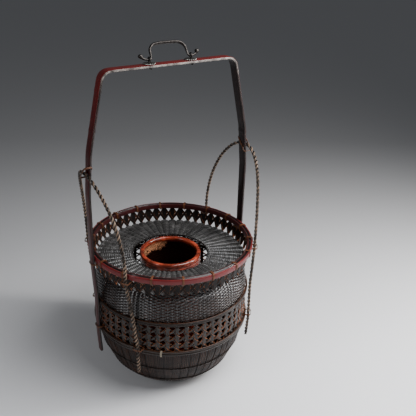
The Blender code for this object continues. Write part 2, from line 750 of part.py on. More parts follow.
def wall_hole_edge(below):
    """Distance from a stake's middle to the opening beside it, at a depth below the hoops."""
    pitch = WALL_TOP_RADIUS * STAKE_TURN
    hole_height = (HOOP_UNDERSIDE - FLOOR_UNDERSIDE - CLEARANCE - FLOOR_THICKNESS - WALL_EDGE - WALL_CROSSING) / 2
    half_stake = wall_share() * pitch / 2
    return half_stake + (pitch / 2 - half_stake) * below / hole_height


def lattice_hole_edge(above):
    """The same beside a stake of the lattice, at a height above the band's lower edge."""
    levels = lattice_levels()
    hole_height = levels[1] - LATTICE_STRIP / 2 - levels[0]
    half_stake = STAKE_WIDTH / 2
    pitch = BELLY_RADIUS * STAKE_TURN
    return half_stake + (pitch / 2 - half_stake) * above / hole_height


def tie_reach(half, edge, radius):
    """Half the inner width of a tie: it goes through the first opening that leaves the bound piece room."""
    pitch = radius * STAKE_TURN
    passed = max(0, math.ceil((half + edge + TIE_THICKNESS + CLEARANCE) / pitch) - 1)
    return max(half, passed * pitch + edge)


def tie_depth(inner_face, reach):
    """Where a tie's inner run lies: inside the curved wall along its whole width."""
    across = reach + TIE_THICKNESS
    return min(inner_face - CLEARANCE, math.sqrt(inner_face * inner_face - across * across))


def make_side_ties(look):
    """Ties that hold the handle's legs and the loops to the stakes of the wall and of the lattice."""
    rim_tie_height = RIM_TIE_TOP - TIE_WIDTH / 2
    body_tie_height = BODY_TIE_BASE + TIE_WIDTH / 2
    rim_edge = wall_hole_edge(HOOP_UNDERSIDE - RIM_TIE_TOP + TIE_WIDTH) + CLEARANCE
    body_edge = lattice_hole_edge(LOWER_HOOP_HEIGHT + CLEARANCE + TIE_WIDTH) + CLEARANCE
    rim_face = wall_radius(rim_tie_height - TIE_WIDTH / 2) - WALL_THICKNESS
    body_inside = body_radius(body_tie_height) - SKIN
    cane = look["copper_cane"]
    strip_out = STRIP_THICKNESS + CLEARANCE
    loop_out = LOOP_RADIUS + LOOP_RADIUS + CLEARANCE
    body_face = side_places(0)[-2][0]
    for word, spin in (("right", 0), ("left", math.pi)):
        half_leg = strip_width(rim_tie_height + TIE_WIDTH) / 2 + CLEARANCE
        reach = tie_reach(max(half_leg, rim_edge), rim_edge, WALL_TOP_RADIUS)
        place = Matrix.Rotation(spin, 4, "Z") @ Matrix.Translation((0, 0, rim_tie_height))
        tie_ring(
            f"leg_rim_tie_{word}", tie_depth(rim_face, reach), RIM_RADIUS + CLEARANCE + strip_out, reach,
            TIE_WIDTH, cane, place,
        )
        half_leg = strip_width(body_tie_height + TIE_WIDTH) / 2 + CLEARANCE
        reach = tie_reach(max(half_leg, body_edge), body_edge, BELLY_RADIUS)
        place = Matrix.Rotation(spin, 4, "Z") @ Matrix.Translation((0, 0, body_tie_height))
        tie_ring(
            f"leg_body_tie_{word}", tie_depth(body_inside, reach), body_face + strip_out, reach,
            TIE_WIDTH, cane, place,
        )
        for end, way in (("front", -1 if spin == 0 else 1), ("back", 1 if spin == 0 else -1)):
            aim = Matrix.Rotation(spin + way * LOOP_RIM_TURN, 4, "Z")
            reach = tie_reach(max(LOOP_RADIUS + CLEARANCE, rim_edge), rim_edge, WALL_TOP_RADIUS)
            tie_ring(
                f"loop_rim_tie_{word}_{end}", tie_depth(rim_face, reach), RIM_RADIUS + CLEARANCE + loop_out,
                reach, TIE_WIDTH, cane, aim @ Matrix.Translation((0, 0, rim_tie_height)),
            )
            aim = Matrix.Rotation(spin + way * LOOP_BODY_TURN, 4, "Z")
            reach = tie_reach(max(LOOP_RADIUS + CLEARANCE, body_edge), body_edge, BELLY_RADIUS)
            tie_ring(
                f"loop_body_tie_{word}_{end}", tie_depth(body_inside, reach), body_face + loop_out,
                reach, TIE_WIDTH, cane, aim @ Matrix.Translation((0, 0, body_tie_height)),
            )
        half_leg = strip_width(LOOP_TOP_HEIGHT) / 2 + CLEARANCE
        reach = (half_leg + TIE_WIDTH / 2 * math.sin(APEX_TIE_TILT)) / math.cos(APEX_TIE_TILT)
        place = Matrix.Rotation(spin, 4, "Z") @ Matrix.Translation((0, 0, LOOP_TOP_HEIGHT))
        tie_ring(
            f"loop_leg_tie_{word}", RIM_RADIUS, leg_x() + STRIP_THICKNESS / 2 + CLEARANCE + loop_out, reach,
            TIE_WIDTH, cane, place @ Matrix.Rotation(APEX_TIE_TILT, 4, "X"),
        )


# Bail and its fittings

def bail_route():
    """The bail upright in its own XZ plane, its eyes' axis on X, with the half width of each place."""
    count = len(BAIL_OUTLINE_SHARES) - 1
    half = []
    for k in range(count * BAIL_STEPS + 1):
        t = k / BAIL_STEPS
        across, up, width = (
            curve_value(t, [(i, row[column]) for i, row in enumerate(BAIL_OUTLINE_SHARES)]) for column in range(3)
        )
        half.append((Vector((across * BAIL_HALF_SPAN, 0, up * BAIL_RISE)), width * BAIL_ROD_RADIUS))
    mirrored = [(Vector((-point.x, 0, point.z)), width) for point, width in half[:0:-1]]
    return mirrored + half


def make_bail(look):
    """A strap, wide over its top, round in the eyes and thick again at its curled ends."""
    found = bail_route()
    route = [point for point, _ in found]
    sections = []
    last = len(found) - 1
    for k, (_, width) in enumerate(found):
        near_end = min(k, last - k) <= 2 * BAIL_STEPS
        flat = 1.0 if near_end else BAIL_ROD_RADIUS / width
        sections.append(polygon(width, BAIL_SIDES, 0.0, flat))
    place = Matrix.Translation((0, 0, BAIL_AXIS_HEIGHT)) @ Matrix.Rotation(-BAIL_LEAN, 4, "X")
    across = Vector((0, 1, 0))
    swept("bail_handle", route, sections, [across] * len(route), look["dark_iron"], place)


def pin_route():
    """One wire: a clinched end under the bar, up through it, round the eye, and back down to the other end."""
    half_gap = PIN_WIRE_RADIUS + CLEARANCE / 2
    eye = BAIL_AXIS_HEIGHT
    under = BAR_HEIGHT - STRIP_THICKNESS / 2 - CLEARANCE - PIN_WIRE_RADIUS
    open_turn = math.asin(half_gap / PIN_EYE_RADIUS)
    rounding = PIN_WIRE_RADIUS
    end = Vector((0, -half_gap - PIN_CLINCH, under))
    corner = Vector((0, -half_gap, under))
    above = Vector((0, -half_gap, BAR_TOP))
    rising = filleted([end, corner, above], [rounding], 2)
    loop = []
    for k in range(PIN_STEPS + 1):
        turn = math.pi + math.pi / 2 - open_turn - (math.tau - 2 * open_turn) * k / PIN_STEPS
        loop.append(Vector((0, PIN_EYE_RADIUS * math.cos(turn), eye + PIN_EYE_RADIUS * math.sin(turn))))
    falling = [Vector((0, -point.y, point.z)) for point in rising[::-1]]
    return rising + loop + falling


def make_pins_and_washers(look):
    route = pin_route()
    sections = [polygon(PIN_WIRE_RADIUS, PIN_SIDES)] * len(route)
    sides = [Vector((1, 0, 0))] * len(route)
    hole = PIN_WIRE_RADIUS + PIN_WIRE_RADIUS + CLEARANCE + CLEARANCE
    low = BAR_TOP + CLEARANCE
    for word, side in (("right", 1), ("left", -1)):
        place = Matrix.Translation((side * BAIL_HALF_SPAN, 0, 0))
        swept(f"bail_pin_{word}", route, sections, sides, look["dark_iron"], place)
        section = ring_section(hole, WASHER_RADIUS, low, low + WASHER_THICKNESS)
        washer = turned_ring(f"bail_washer_{word}", section, look["dark_iron"], WASHER_STEPS)
        washer.location.x = side * BAIL_HALF_SPAN


# Water tube

def make_water_tube(look):
    """A straight tube with a thick rolled lip. It stands on the bowl's floor."""
    low = BODY_OUTLINE_SHARES[0][0] * BODY_HEIGHT + SKIN + CLEARANCE
    lip_low = TUBE_TOP - TUBE_LIP_HEIGHT
    inner = TUBE_RADIUS - TUBE_WALL
    outline = [
        (0, low), (TUBE_RADIUS - TUBE_WALL / 2, low), (TUBE_RADIUS, low + TUBE_WALL / 2), (TUBE_RADIUS, lip_low),
        (TUBE_RADIUS + TUBE_LIP_OUT, lip_low + TUBE_LIP_HEIGHT / 3),
        (TUBE_RADIUS + TUBE_LIP_OUT, TUBE_TOP - TUBE_LIP_HEIGHT / 4),
        (TUBE_RADIUS - TUBE_WALL / 3, TUBE_TOP), (inner - TUBE_LIP_IN / 2, TUBE_TOP),
        (inner - TUBE_LIP_IN, TUBE_TOP - TUBE_LIP_HEIGHT / 4), (inner, lip_low - TUBE_LIP_HEIGHT / 3),
        (inner, low + TUBE_BASE), (0, low + TUBE_BASE),
    ]
    turned_vessel("water_tube", outline, look["vermilion"], TURNED_STEPS)


def main():
    for old in list(bpy.data.objects):
        bpy.data.objects.remove(old)
    look = make_materials()
    make_foot_ring(look)
    make_bowl(look)
    make_bowl_lacings(look)
    make_body_hoops(look)
    make_lattice_band(look)
    make_shoulder(look)
    make_neck_ring(look)
    make_tray_floor(look)
    make_tray_wall(look)
    make_rim_hoops(look)
    make_rim_ties(look)
    make_handle(look)
    make_side_loops(look)
    make_side_ties(look)
    make_bail(look)
    make_pins_and_washers(look)
    make_water_tube(look)


main()
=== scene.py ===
"""Looks of a woven flower basket, laid out as a Blender add-on and run as a script.

Every size is in metres. The basket stands on z = 0, centred on the Z axis, with its handle in the XZ plane.
"""

import json
import math

import bpy
import numpy as np
from bpy.props import FloatProperty, FloatVectorProperty, IntProperty, PointerProperty
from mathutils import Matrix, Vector


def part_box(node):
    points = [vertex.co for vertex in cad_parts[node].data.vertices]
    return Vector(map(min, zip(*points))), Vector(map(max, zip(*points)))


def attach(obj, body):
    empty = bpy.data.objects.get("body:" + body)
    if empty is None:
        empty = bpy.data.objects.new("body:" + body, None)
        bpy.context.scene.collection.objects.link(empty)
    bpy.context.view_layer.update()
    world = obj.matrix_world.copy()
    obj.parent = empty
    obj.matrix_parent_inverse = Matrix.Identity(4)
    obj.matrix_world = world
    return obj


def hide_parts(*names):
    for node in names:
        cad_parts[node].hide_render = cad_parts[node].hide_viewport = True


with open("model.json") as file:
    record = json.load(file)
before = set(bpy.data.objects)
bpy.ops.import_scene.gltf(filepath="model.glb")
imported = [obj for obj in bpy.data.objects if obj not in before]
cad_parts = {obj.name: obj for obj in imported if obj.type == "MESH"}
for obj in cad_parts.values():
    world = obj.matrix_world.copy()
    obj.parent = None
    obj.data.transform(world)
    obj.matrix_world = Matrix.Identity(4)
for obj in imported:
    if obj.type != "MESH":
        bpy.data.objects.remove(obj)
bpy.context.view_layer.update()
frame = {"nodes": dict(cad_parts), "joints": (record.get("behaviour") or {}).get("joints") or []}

bl_info = {
    "name": "Flower Basket Looks",
    "version": (1, 0, 0),
    "blender": (4, 5, 0),
    "location": "3D View > Sidebar > Basket",
    "description": "Splints, weavers, hoops, canes, iron bail and lacquered tube of a woven flower basket",
    "category": "Object",
}

# Shape of the woven body: height as a share of BODY_HEIGHT, radius as a share of BELLY_RADIUS
BODY_OUTLINE_SHARES = np.array((
    (0.028, 0.575), (0.055, 0.670), (0.110, 0.765), (0.200, 0.852), (0.300, 0.915), (0.440, 0.980),
    (0.560, 1.000), (0.650, 1.000), (0.790, 0.990), (0.890, 0.976), (0.956, 0.955), (1.000, 0.915),
))
STAKES = 54
GAP = 0.0003
SKIN = 0.0022
HOOP_DEPTH = 0.0026
RIM_HOOP_DEPTH = 0.0028
HANDLE_DEPTH = 0.0040
RIM_STAKE, BODY_STAKE = 5, 6
# How far the rim stands out past the belly
RIM_OVERHANG = 0.0055
# Tray: the floor's hole and its thickness at its edge, how far the wall's foot stands out, and its thickness
HOLE_RADIUS, FLOOR_EDGE_DEPTH, WALL_FOOT_OUT, WALL_THICKNESS = 0.0552, 0.0022, 0.0021, 0.0018
# Edges of a mesh that turn by more than this stay sharp
SHARP_ANGLE = math.radians(50)

# Sizes that the frame gives
BOX = {name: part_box(name) for name in frame["nodes"]}
LOW, HIGH = {name: pair[0] for name, pair in BOX.items()}, {name: pair[1] for name, pair in BOX.items()}
BODY_HEIGHT = HIGH["shoulder"].z
RIM_RADIUS, RIM_HIGH, RIM_LOW = HIGH["rim_outer_hoop"].x, HIGH["rim_outer_hoop"].z, LOW["rim_outer_hoop"].z
BELLY_RADIUS = RIM_RADIUS - RIM_OVERHANG
FLOOR_LOW, FLOOR_EDGE = LOW["tray_floor"].z, HIGH["tray_floor"].x
FLOOR_TOP = FLOOR_LOW + FLOOR_EDGE_DEPTH
FLOOR_RISE = HIGH["tray_floor"].z - FLOOR_TOP
WALL_TOP_RADIUS = HIGH["tray_wall"].x
WALL_LEAN = WALL_TOP_RADIUS - FLOOR_EDGE - WALL_FOOT_OUT
BAIL_AXIS = next(joint["pos_m"][2] for joint in frame["joints"] if joint["name"] == "bail_swing")
PIN_X = (LOW["bail_pin_right"].x + HIGH["bail_pin_right"].x) / 2

rng = np.random.default_rng(41)


# Settings

def length(name, description, default):
    """A size in metres that a user can change."""
    return FloatProperty(
        name=name, description=description, default=default, subtype="DISTANCE", unit="LENGTH",
    )


def number(name, description, default, least=1):
    """A count that a user can change."""
    return IntProperty(name=name, description=description, default=default, min=least)


def power_of(name, description, default):
    """A light's power in watts that a user can change."""
    return FloatProperty(name=name, description=description, default=default, unit="POWER")


def linear(code):
    """An sRGB hex colour as linear red, green and blue."""
    s = np.array([int(code[i:i + 2], 16) / 255 for i in (1, 3, 5)])
    return tuple(np.where(s <= 0.04045, s / 12.92, ((s + 0.055) / 1.055) ** 2.4).tolist())


def colour(name, description, code):
    """A colour that a user can change."""
    return FloatVectorProperty(
        name=name, description=description, default=linear(code), subtype="COLOR", size=3, min=0, max=1,
    )


class BasketWeave(bpy.types.PropertyGroup):
    """Counts and sizes of the splints and weavers."""
    stakes: number("Stakes", "Upright stakes round the basket", STAKES, 12)
    splints: number("Bowl splints", "Thin splints in each rib of the bowl", 4)
    rows: number("Shoulder rows", "Weavers in the close weave of the shoulder", 19)
    floor_rows: number("Tray rows", "Weavers round the floor of the tray", 20)
    stake_width: length("Stake width", "Width of an upright stake in the open weave", 0.0052)
    strip_width: length("Strip width", "Width of a crossing strip in the open weave", 0.0026)
    strip_depth: length("Strip depth", "Thickness of the strips in the open weave", 0.0012)
    wall_strip_width: length("Wall strip width", "Width of a crossing strip in the tray's wall", 0.0038)
    wall_stake_width: length("Wall stake width", "Width of a stake in the tray's wall at its ends", 0.0034)
    wall_stake_swell: length("Wall stake swell", "Width of a stake in the tray's wall half way up", 0.0090)
    wall_depth: length("Wall depth", "Thickness of the strips in the tray's wall", 0.0007)
    weaver_depth: length("Weaver depth", "Thickness of a fine weaver", 0.0012)


class BasketHoops(bpy.types.PropertyGroup):
    """Hoops, bindings and handle."""
    bead: length("Rim bead", "Radius of the thin canes along the top of the rim", 0.0008)
    tie_turns: number("Tie turns", "Turns of cane in one tie", 2)
    cane_width: length("Cane width", "Width of the cane of the ties", 0.0014)
    cane_depth: length("Cane depth", "Thickness of the cane of the ties", 0.0008)
    lay: length("Loop lay", "Length of one full turn of the twisted loops", 0.0120)
    strip_depth: length("Handle depth", "Thickness of the handle's strip", HANDLE_DEPTH)


class BasketFittings(bpy.types.PropertyGroup):
    """Bail, pins and water tube."""
    rod: length("Bail rod", "Radius of the bail where it passes its eyes", 0.0012)
    wire: length("Pin wire", "Radius of the split pins' wire", 0.0009)
    tube_wall: length("Tube wall", "Wall of the water tube", 0.0030)


class BasketColours(bpy.types.PropertyGroup):
    """Colours of the finishes."""
    smoked: colour("Smoked bamboo", "Dark lacquered skin of the bamboo", "#161412")
    smoked_pale: colour("Worn skin", "Paler fibres in the smoked skin", "#433f3c")
    copper: colour("Cut edge", "Copper-brown cut edges of the splints", "#b06a42")
    rib: colour("Bowl rib", "Skin of the bowl's ribs", "#141110")
    weaver: colour("Fine weaver", "Skin of the close weave", "#0d0c0b")
    tray: colour("Tray floor", "Skin of the tray's weavers", "#232222")
    tray_pale: colour("Tray bloom", "Worn tops of the tray's weavers", "#918f8d")
    hoop: colour("Body hoop", "Skin of the body's hoops", "#1a1512")
    red: colour("Red lacquer", "Lacquer of the rim hoops", "#711d1f")
    handle: colour("Handle lacquer", "Lacquered skin of the handle", "#661b1a")
    cane: colour("Binding cane", "Cane of the rim's ties", "#623a22")
    lashing: colour("Lashing cane", "Cane of the handle's ties", "#4a2c1c")
    twist: colour("Loop cane", "Cane of the twisted loops", "#120f0d")
    thread: colour("Thread", "Pale thread round the lower hoops", "#8f8676")
    vermilion: colour("Tube lacquer", "Vermilion lacquer of the tube", "#ab4228")
    liner: colour("Tube inside", "Brown lacquer inside the tube", "#1a0805")
    # A golden tint for the painted lit patch inside the back of the tube, where the light falls
    lit_gold: colour("Tube gold", "Worn gold patch inside the tube", "#ae7756")
    iron: colour("Iron", "Dark patina of the iron bail", "#353230")
    petal: colour("Petal seats", "Paler metal of the bail's seats", "#8a8782")


class BasketStudio(bpy.types.PropertyGroup):
    """Camera and light."""
    lens: FloatProperty(name="Lens", description="Focal length", default=51.2, subtype="DISTANCE_CAMERA")
    key: power_of("Key light", "Power of the light on the right", 5.5)
    over: power_of("Overhead light", "Power of the light over the front", 15.0)
    side: power_of("Side light", "Power of the weak light on the left", 2.6)
    floor: colour("Floor", "Plain pale floor", "#ececee")


# Places on the basket

def unit(v):
    """Vectors of length one."""
    return v / np.linalg.norm(v, axis=-1, keepdims=True)


def polar(radius, turn, height):
    """Points from radius, turn round Z and height: (r cos t, r sin t, z)."""
    radius, turn, height = np.broadcast_arrays(radius, turn, height)
    return np.stack((radius * np.cos(turn), radius * np.sin(turn), height), -1)


def smooth_curve(x, knots):
    """Cubic pieces through the knots, whose slopes follow the neighbouring knots."""
    xs, ys = knots[:, 0], knots[:, 1]
    slope = np.empty(len(xs))
    slope[1:-1] = (ys[2:] - ys[:-2]) / (xs[2:] - xs[:-2])
    slope[0], slope[-1] = (ys[1] - ys[0]) / (xs[1] - xs[0]), (ys[-1] - ys[-2]) / (xs[-1] - xs[-2])
    x = np.clip(x, xs[0], xs[-1])
    i = np.clip(np.searchsorted(xs, x, side="right") - 1, 0, len(xs) - 2)
    span = xs[i + 1] - xs[i]
    t = (x - xs[i]) / span
    blend = t * t * (3 - 2 * t)
    lean = (slope[i] * (1 - t) - slope[i + 1] * t) * span * t * (1 - t)
    return ys[i] * (1 - blend) + ys[i + 1] * blend + lean


def body_radius(height):
    """Outer radius of the woven body at a height."""
    return BELLY_RADIUS * smooth_curve(np.asarray(height) / BODY_HEIGHT, BODY_OUTLINE_SHARES)


def body_facing(turn, height):
    """Outward normal of the body: the slope of its outline turned round Z."""
    step = 0.0005
    slope = (body_radius(height + step) - body_radius(height - step)) / (2 * step)
    return unit(polar(1.0, turn, -slope))


def wall_radius(height):
    """Outer radius of the tray's wall: upright between the hoops, leaning in below them."""
    return WALL_TOP_RADIUS - WALL_LEAN * np.clip((RIM_LOW - height) / (RIM_LOW - FLOOR_LOW), 0, 1)


def floor_height(radius):
    """Top of the tray's floor: a straight rise from the wall to the hole."""
    return FLOOR_TOP + FLOOR_RISE * (FLOOR_EDGE - radius) / (FLOOR_EDGE - HOLE_RADIUS)


def turns_of(count):
    """count equal turns round Z as a column."""
    return np.arange(count)[:, None] * math.tau / count


def level_run(low, high, shares):
    """Heights of the body at shares 0 to 1 of the distance along its outline from low to high."""
    height = np.linspace(low, high, 400)
    along = np.concatenate(((0,), np.cumsum(np.hypot(np.diff(height), np.diff(body_radius(height))))))
    return np.interp(np.asarray(shares) * along[-1], along, height)


def node_points(name):
    """The corners of a CAD node as an array."""
    mesh = frame["nodes"][name].data
    points = np.empty(len(mesh.vertices) * 3, np.float32)
    mesh.vertices.foreach_get("co", points)
    return points.reshape(-1, 3).astype(float)


# Strands: a section carried along a path, all strands of a kind in one array

def run_of(path, ring):
    """Direction of travel at every station: from the station before to the one after."""
    run = np.roll(path, -1, -2) - np.roll(path, 1, -2)
    if not ring:
        run[..., 0, :] = path[..., 1, :] - path[..., 0, :]
        run[..., -1, :] = path[..., -1, :] - path[..., -2, :]
    return unit(run)


def sweep(path, facing, section, ring=False):
    """point + a * across + b * up, where up is as near to facing as the path lets it be."""
    run = run_of(path, ring)
    across = unit(np.cross(run, np.broadcast_to(facing, path.shape)))
    up = np.cross(across, run)
    a, b = section[..., 0, None], section[..., 1, None]
    return path[..., None, :] + a * across[..., None, :] + b * up[..., None, :]


def section_turns(points):
    """Turns round a section, half a step off its axes."""
    return (np.arange(points) + 0.5) * math.tau / points


def power(value, exponent):
    """A power that keeps the sign."""
    return np.sign(value) * np.abs(value) ** exponent


def oblong(width, depth, points=8, square=0.4):
    """A rounded oblong: (w/2 cos^q, d/2 sin^q), sharper as q falls. Sizes may vary along the path."""
    turn = section_turns(points)
    width, depth = np.broadcast_arrays(np.asarray(width, float), np.asarray(depth, float))
    a = width[..., None] / 2 * power(np.cos(turn), square)
    b = depth[..., None] / 2 * power(np.sin(turn), square)
    return np.stack((a, b), -1)


def sides_of(points):
    """1 where the point of an oblong section lies on its narrow side, 0 on its faces."""
    return (np.abs(np.cos(section_turns(points))) > 0.85).astype(float)


def vessel(profile, steps):
    """A profile from the middle of the underside, over the edge, to the middle of the inside, round Z."""
    turn = np.linspace(0, math.tau, steps, endpoint=False)[None]
    return polar(profile[:, 0, None], turn, profile[:, 1, None])[None]


def hoop(radius, low, high, depth, count=1, points=12, square=0.55, wave=0.0, steps=216):
    """Thin hoops side by side between two heights: an oblong carried round Z, with a slight wave."""
    turn = np.linspace(0, math.tau, steps, endpoint=False)[None]
    each = (high - low) / count
    height = low + each * (np.arange(count)[:, None] + 0.5)
    ripple = wave * (np.sin(5 * turn + height * 900) + 0.5 * np.sin(11 * turn + 2)) / 1.5
    path = polar(radius + depth / 2, turn, height + ripple)
    return sweep(path, polar(1.0, turn, 0.0), oblong(each * 0.97, depth, points, square), ring=True)


def twine(radius, height, pairs, reach, thick, steps=540):
    """Two strands twisted round each other along a circle: r + reach cos(n t), z + reach sin(n t)."""
    turn = np.linspace(0, math.tau, steps, endpoint=False)[None]
    phase = pairs * turn + np.array(((0.0,), (math.pi,)))
    path = polar(radius + reach * np.cos(phase), turn, height + reach * np.sin(phase))
    return sweep(path, polar(1.0, turn, 0.0), oblong(thick, thick, 6, 1.0), ring=True)


def volume_of(points, faces):
    """Six times the volume inside faces: a . (b x c) summed over each face's fan of triangles."""
    p = (points - points.mean(0))[faces]
    return np.einsum("ijk,ijk->", np.repeat(p[:, :1], faces.shape[1] - 2, 1), np.cross(p[:, 1:-1], p[:, 2:]))


class Bodies:
    """Closed bodies of one piece, gathered as arrays and written to one mesh."""

    def __init__(self):
        self.points, self.corners, self.uvs, self.marks, self.count = [], [], [], [], 0

    def add(self, grid, ring=False, edge=0.0, tone=None, skin=0.0):
        """Adds grid[body, station, point]. U runs along the path and V round the section, in metres."""
        grid = grid.reshape((-1,) + grid.shape[-3:])
        k, n, m, _ = grid.shape
        index = np.arange(k * n * m).reshape(k, n, m)
        centre = (np.concatenate((grid, grid[:, :1]), 1) if ring else grid).mean(2)
        along = np.cumsum(np.linalg.norm(np.diff(centre, axis=1), axis=-1), 1)
        along = np.concatenate((np.zeros((k, 1)), along), 1) + rng.random((k, 1)) * 7
        around = np.linalg.norm(grid - np.roll(grid, -1, 2), axis=-1).mean((0, 1))
        around = np.concatenate(((0,), np.cumsum(around)))
        first = index if ring else index[:, :-1]
        second = np.roll(index, -1, 1) if ring else index[:, 1:]
        quads = np.stack((first, second, np.roll(second, -1, 2), np.roll(first, -1, 2)), -1)
        span = quads.shape[1]
        u0, u1 = along[:, :span, None], along[:, 1:span + 1, None]
        v0, v1 = around[None, None, :-1], around[None, None, 1:]
        uv = np.stack(np.broadcast_arrays(u0, v0, u1, v0, u1, v1, u0, v1), -1).reshape(k, span, m, 4, 2)
        flat = grid.reshape(-1, 3)
        caps = np.stack((index[:, 0], index[:, -1, ::-1]), 1)
        volume = volume_of(flat, quads[0].reshape(-1, 4)) + (0 if ring else volume_of(flat, caps[0]))
        if volume < 0:
            quads, uv, caps = quads[..., ::-1], uv[..., ::-1, :], caps[..., ::-1]
        tone = rng.random((k, 1, 1)) if tone is None else tone
        marks = [np.broadcast_to(value, (k, n, m)).ravel() for value in (edge, tone, skin)]
        self.points.append(flat)
        self.marks.append(np.stack(marks, -1))
        self.corners.append(quads.reshape(-1, 4) + self.count)
        self.uvs.append(uv.reshape(-1, 2))
        if not ring:
            self.corners.append(caps.reshape(-1, m) + self.count)
            self.uvs.append(np.zeros((caps.size, 2)))
        self.count += len(flat)
        return self

    def finish(self, name, word, slot, nodes, body="basket"):
        """Writes the mesh, shades it, sets it on its body and lets it stand for the CAD nodes."""
        loops = np.concatenate([faces.ravel() for faces in self.corners])
        sizes = np.concatenate([np.full(len(faces), faces.shape[1]) for faces in self.corners])
        marks = np.concatenate(self.marks).astype(np.float32)
        mesh = bpy.data.meshes.new(name)
        mesh.vertices.add(self.count)
        mesh.vertices.foreach_set("co", np.concatenate(self.points).astype(np.float32).ravel())
        mesh.loops.add(len(loops))
        mesh.loops.foreach_set("vertex_index", loops.astype(np.int32))
        mesh.polygons.add(len(sizes))
        mesh.polygons.foreach_set("loop_start", (np.cumsum(sizes) - sizes).astype(np.int32))
        mesh.update(calc_edges=True)
        if mesh.validate():
            raise RuntimeError(f"{name} has faces that aren't valid")
        layer = mesh.uv_layers.new(name="Strand")
        layer.data.foreach_set("uv", np.concatenate(self.uvs).astype(np.float32).ravel())
        for column, said in enumerate(("edge", "tone", "skin")):
            attribute = mesh.attributes.new(said, "FLOAT", "POINT")
            attribute.data.foreach_set("value", np.ascontiguousarray(marks[:, column]))
        mesh.materials.append(look(word))
        mesh.shade_smooth()
        mesh.set_sharp_from_angle(angle=SHARP_ANGLE)
        made = bpy.data.objects.new(name, mesh)
        bpy.context.scene.collection.objects.link(made)
        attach(made, body)
        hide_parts(*nodes)


# Routes

def resample(route, count):
    """The same route with its stations at equal distances."""
    along = np.concatenate(((0,), np.cumsum(np.linalg.norm(np.diff(route, axis=0), axis=1))))
    wanted = np.linspace(0, along[-1], count)
    return np.stack([np.interp(wanted, along, route[:, axis]) for axis in range(3)], -1)


def eased(route, passes):
    """Softens the bends: each inner station becomes the quarter, half, quarter mean of three."""
    for _ in range(passes):
        route = np.concatenate((route[:1], (route[:-2] + 2 * route[1:-1] + route[2:]) / 4, route[-1:]))
    return route


def rounded(corners, radii, steps=10):
    """Straight runs between corners. Each inner corner is a parabola that starts one reach before it."""
    inner = corners[1:-1]
    back, on = corners[:-2] - inner, corners[2:] - inner
    half_turn = (math.pi - np.arccos(np.clip(np.sum(unit(back) * unit(on), -1), -1, 1))) / 2
    room = np.minimum(np.linalg.norm(back, axis=1), np.linalg.norm(on, axis=1)) / 2
    reach = np.minimum(np.asarray(radii) * np.tan(half_turn), room)[:, None]
    start, end = (inner + unit(back) * reach)[:, None], (inner + unit(on) * reach)[:, None]
    t = np.linspace(0, 1, steps)[None, :, None]
    bends = start * (1 - t) ** 2 + inner[:, None] * 2 * t * (1 - t) + end * t ** 2
    return np.concatenate((corners[:1], bends.reshape(-1, 3), corners[-1:]))


def hoop_face(name):
    """Outer radius of a hoop that lies on the body."""
    return max(body_radius(LOW[name].z), body_radius(HIGH[name].z)) + GAP + HOOP_DEPTH


def side_places(half):
    """(radius, height) of a strip's or cane's middle where it passes the rim and the hoops."""
    rim = RIM_RADIUS + GAP + half
    upper, lower = hoop_face("upper_hoop") + GAP + half, hoop_face("lower_hoop_top") + GAP + half
    return np.array((
        (rim, RIM_HIGH), (rim, RIM_LOW), (upper, HIGH["upper_hoop"].z), (upper, LOW["upper_hoop"].z),
        (lower, HIGH["lower_hoop_top"].z), (lower, LOW["lower_hoop_bottom"].z),
    ))


# Materials

def add(tree, kind, settings=None, out=0):
    """Adds a node and gives an output of it. A setting is a property, or the value or link of an input."""
    node = tree.nodes.new(f"ShaderNode{kind}")
    for name, value in (settings or {}).items():
        if isinstance(name, str) and name not in node.inputs:
            setattr(node, name, value)
        elif isinstance(value, bpy.types.NodeSocket):
            tree.links.new(value, node.inputs[name])
        else:
            node.inputs[name].default_value = value
    return node.outputs[out] if len(node.outputs) else None


def noise(tree, vector, scale, detail=3.0, rough=0.5):
    """Cloudy noise, whose cells are 1 / scale of the vector's unit wide."""
    return add(tree, "TexNoise", {"Vector": vector, "Scale": scale, "Detail": detail, "Roughness": rough})


def mapped(tree, value, low, high, start=0.0, end=1.0):
    """start where the value is low or less, end where it is high or more, and even steps between."""
    return add(tree, "MapRange", {
        "Value": value, "From Min": low, "From Max": high, "To Min": start, "To Max": end,
    })


def mixed(tree, share, first, second):
    """The first colour where the share is 0, the second where it is 1."""
    return add(tree, "Mix", {"data_type": "RGBA", 0: share, 6: first, 7: second}, 2)


def times(tree, first, second):
    """Two values multiplied and kept between 0 and 1."""
    return add(tree, "Math", {"operation": "MULTIPLY", "use_clamp": True, 0: first, 1: second})


def mark(tree, word):
    """What the mesh says of a point: edge, tone or skin."""
    return add(tree, "Attribute", {"attribute_name": word}, "Fac")


def stretched(tree, vector, scale):
    """The vector with a scale of its own along each axis."""
    return add(tree, "Mapping", {"Vector": vector, "Scale": scale})


def bumped(tree, strength, distance, height):
    """A normal that follows the height, as deep as the distance in metres."""
    return add(tree, "Bump", {"Strength": strength, "Distance": distance, "Height": height})


def rgba(parts, strength=1.0):
    """Red, green and blue, made stronger or weaker, with a full alpha."""
    return (*(min(1.0, strength * part) for part in parts), 1.0)


def empty_material(name):
    """A new material and its node tree with nothing in it."""
    made = bpy.data.materials.new(name)
    made.use_nodes = True
    made.node_tree.nodes.clear()
    return made, made.node_tree


def surfaced(made, tree, settings):
    """Ends a material with one shader."""
    add(tree, "OutputMaterial", {"Surface": add(tree, "BsdfPrincipled", settings)})
    return made


# Width of one bamboo fibre, and how much longer than wide its pattern is
GRAIN, GRAIN_STRETCH = 0.0006, 50
FIBRE_RELIEF = 0.00008


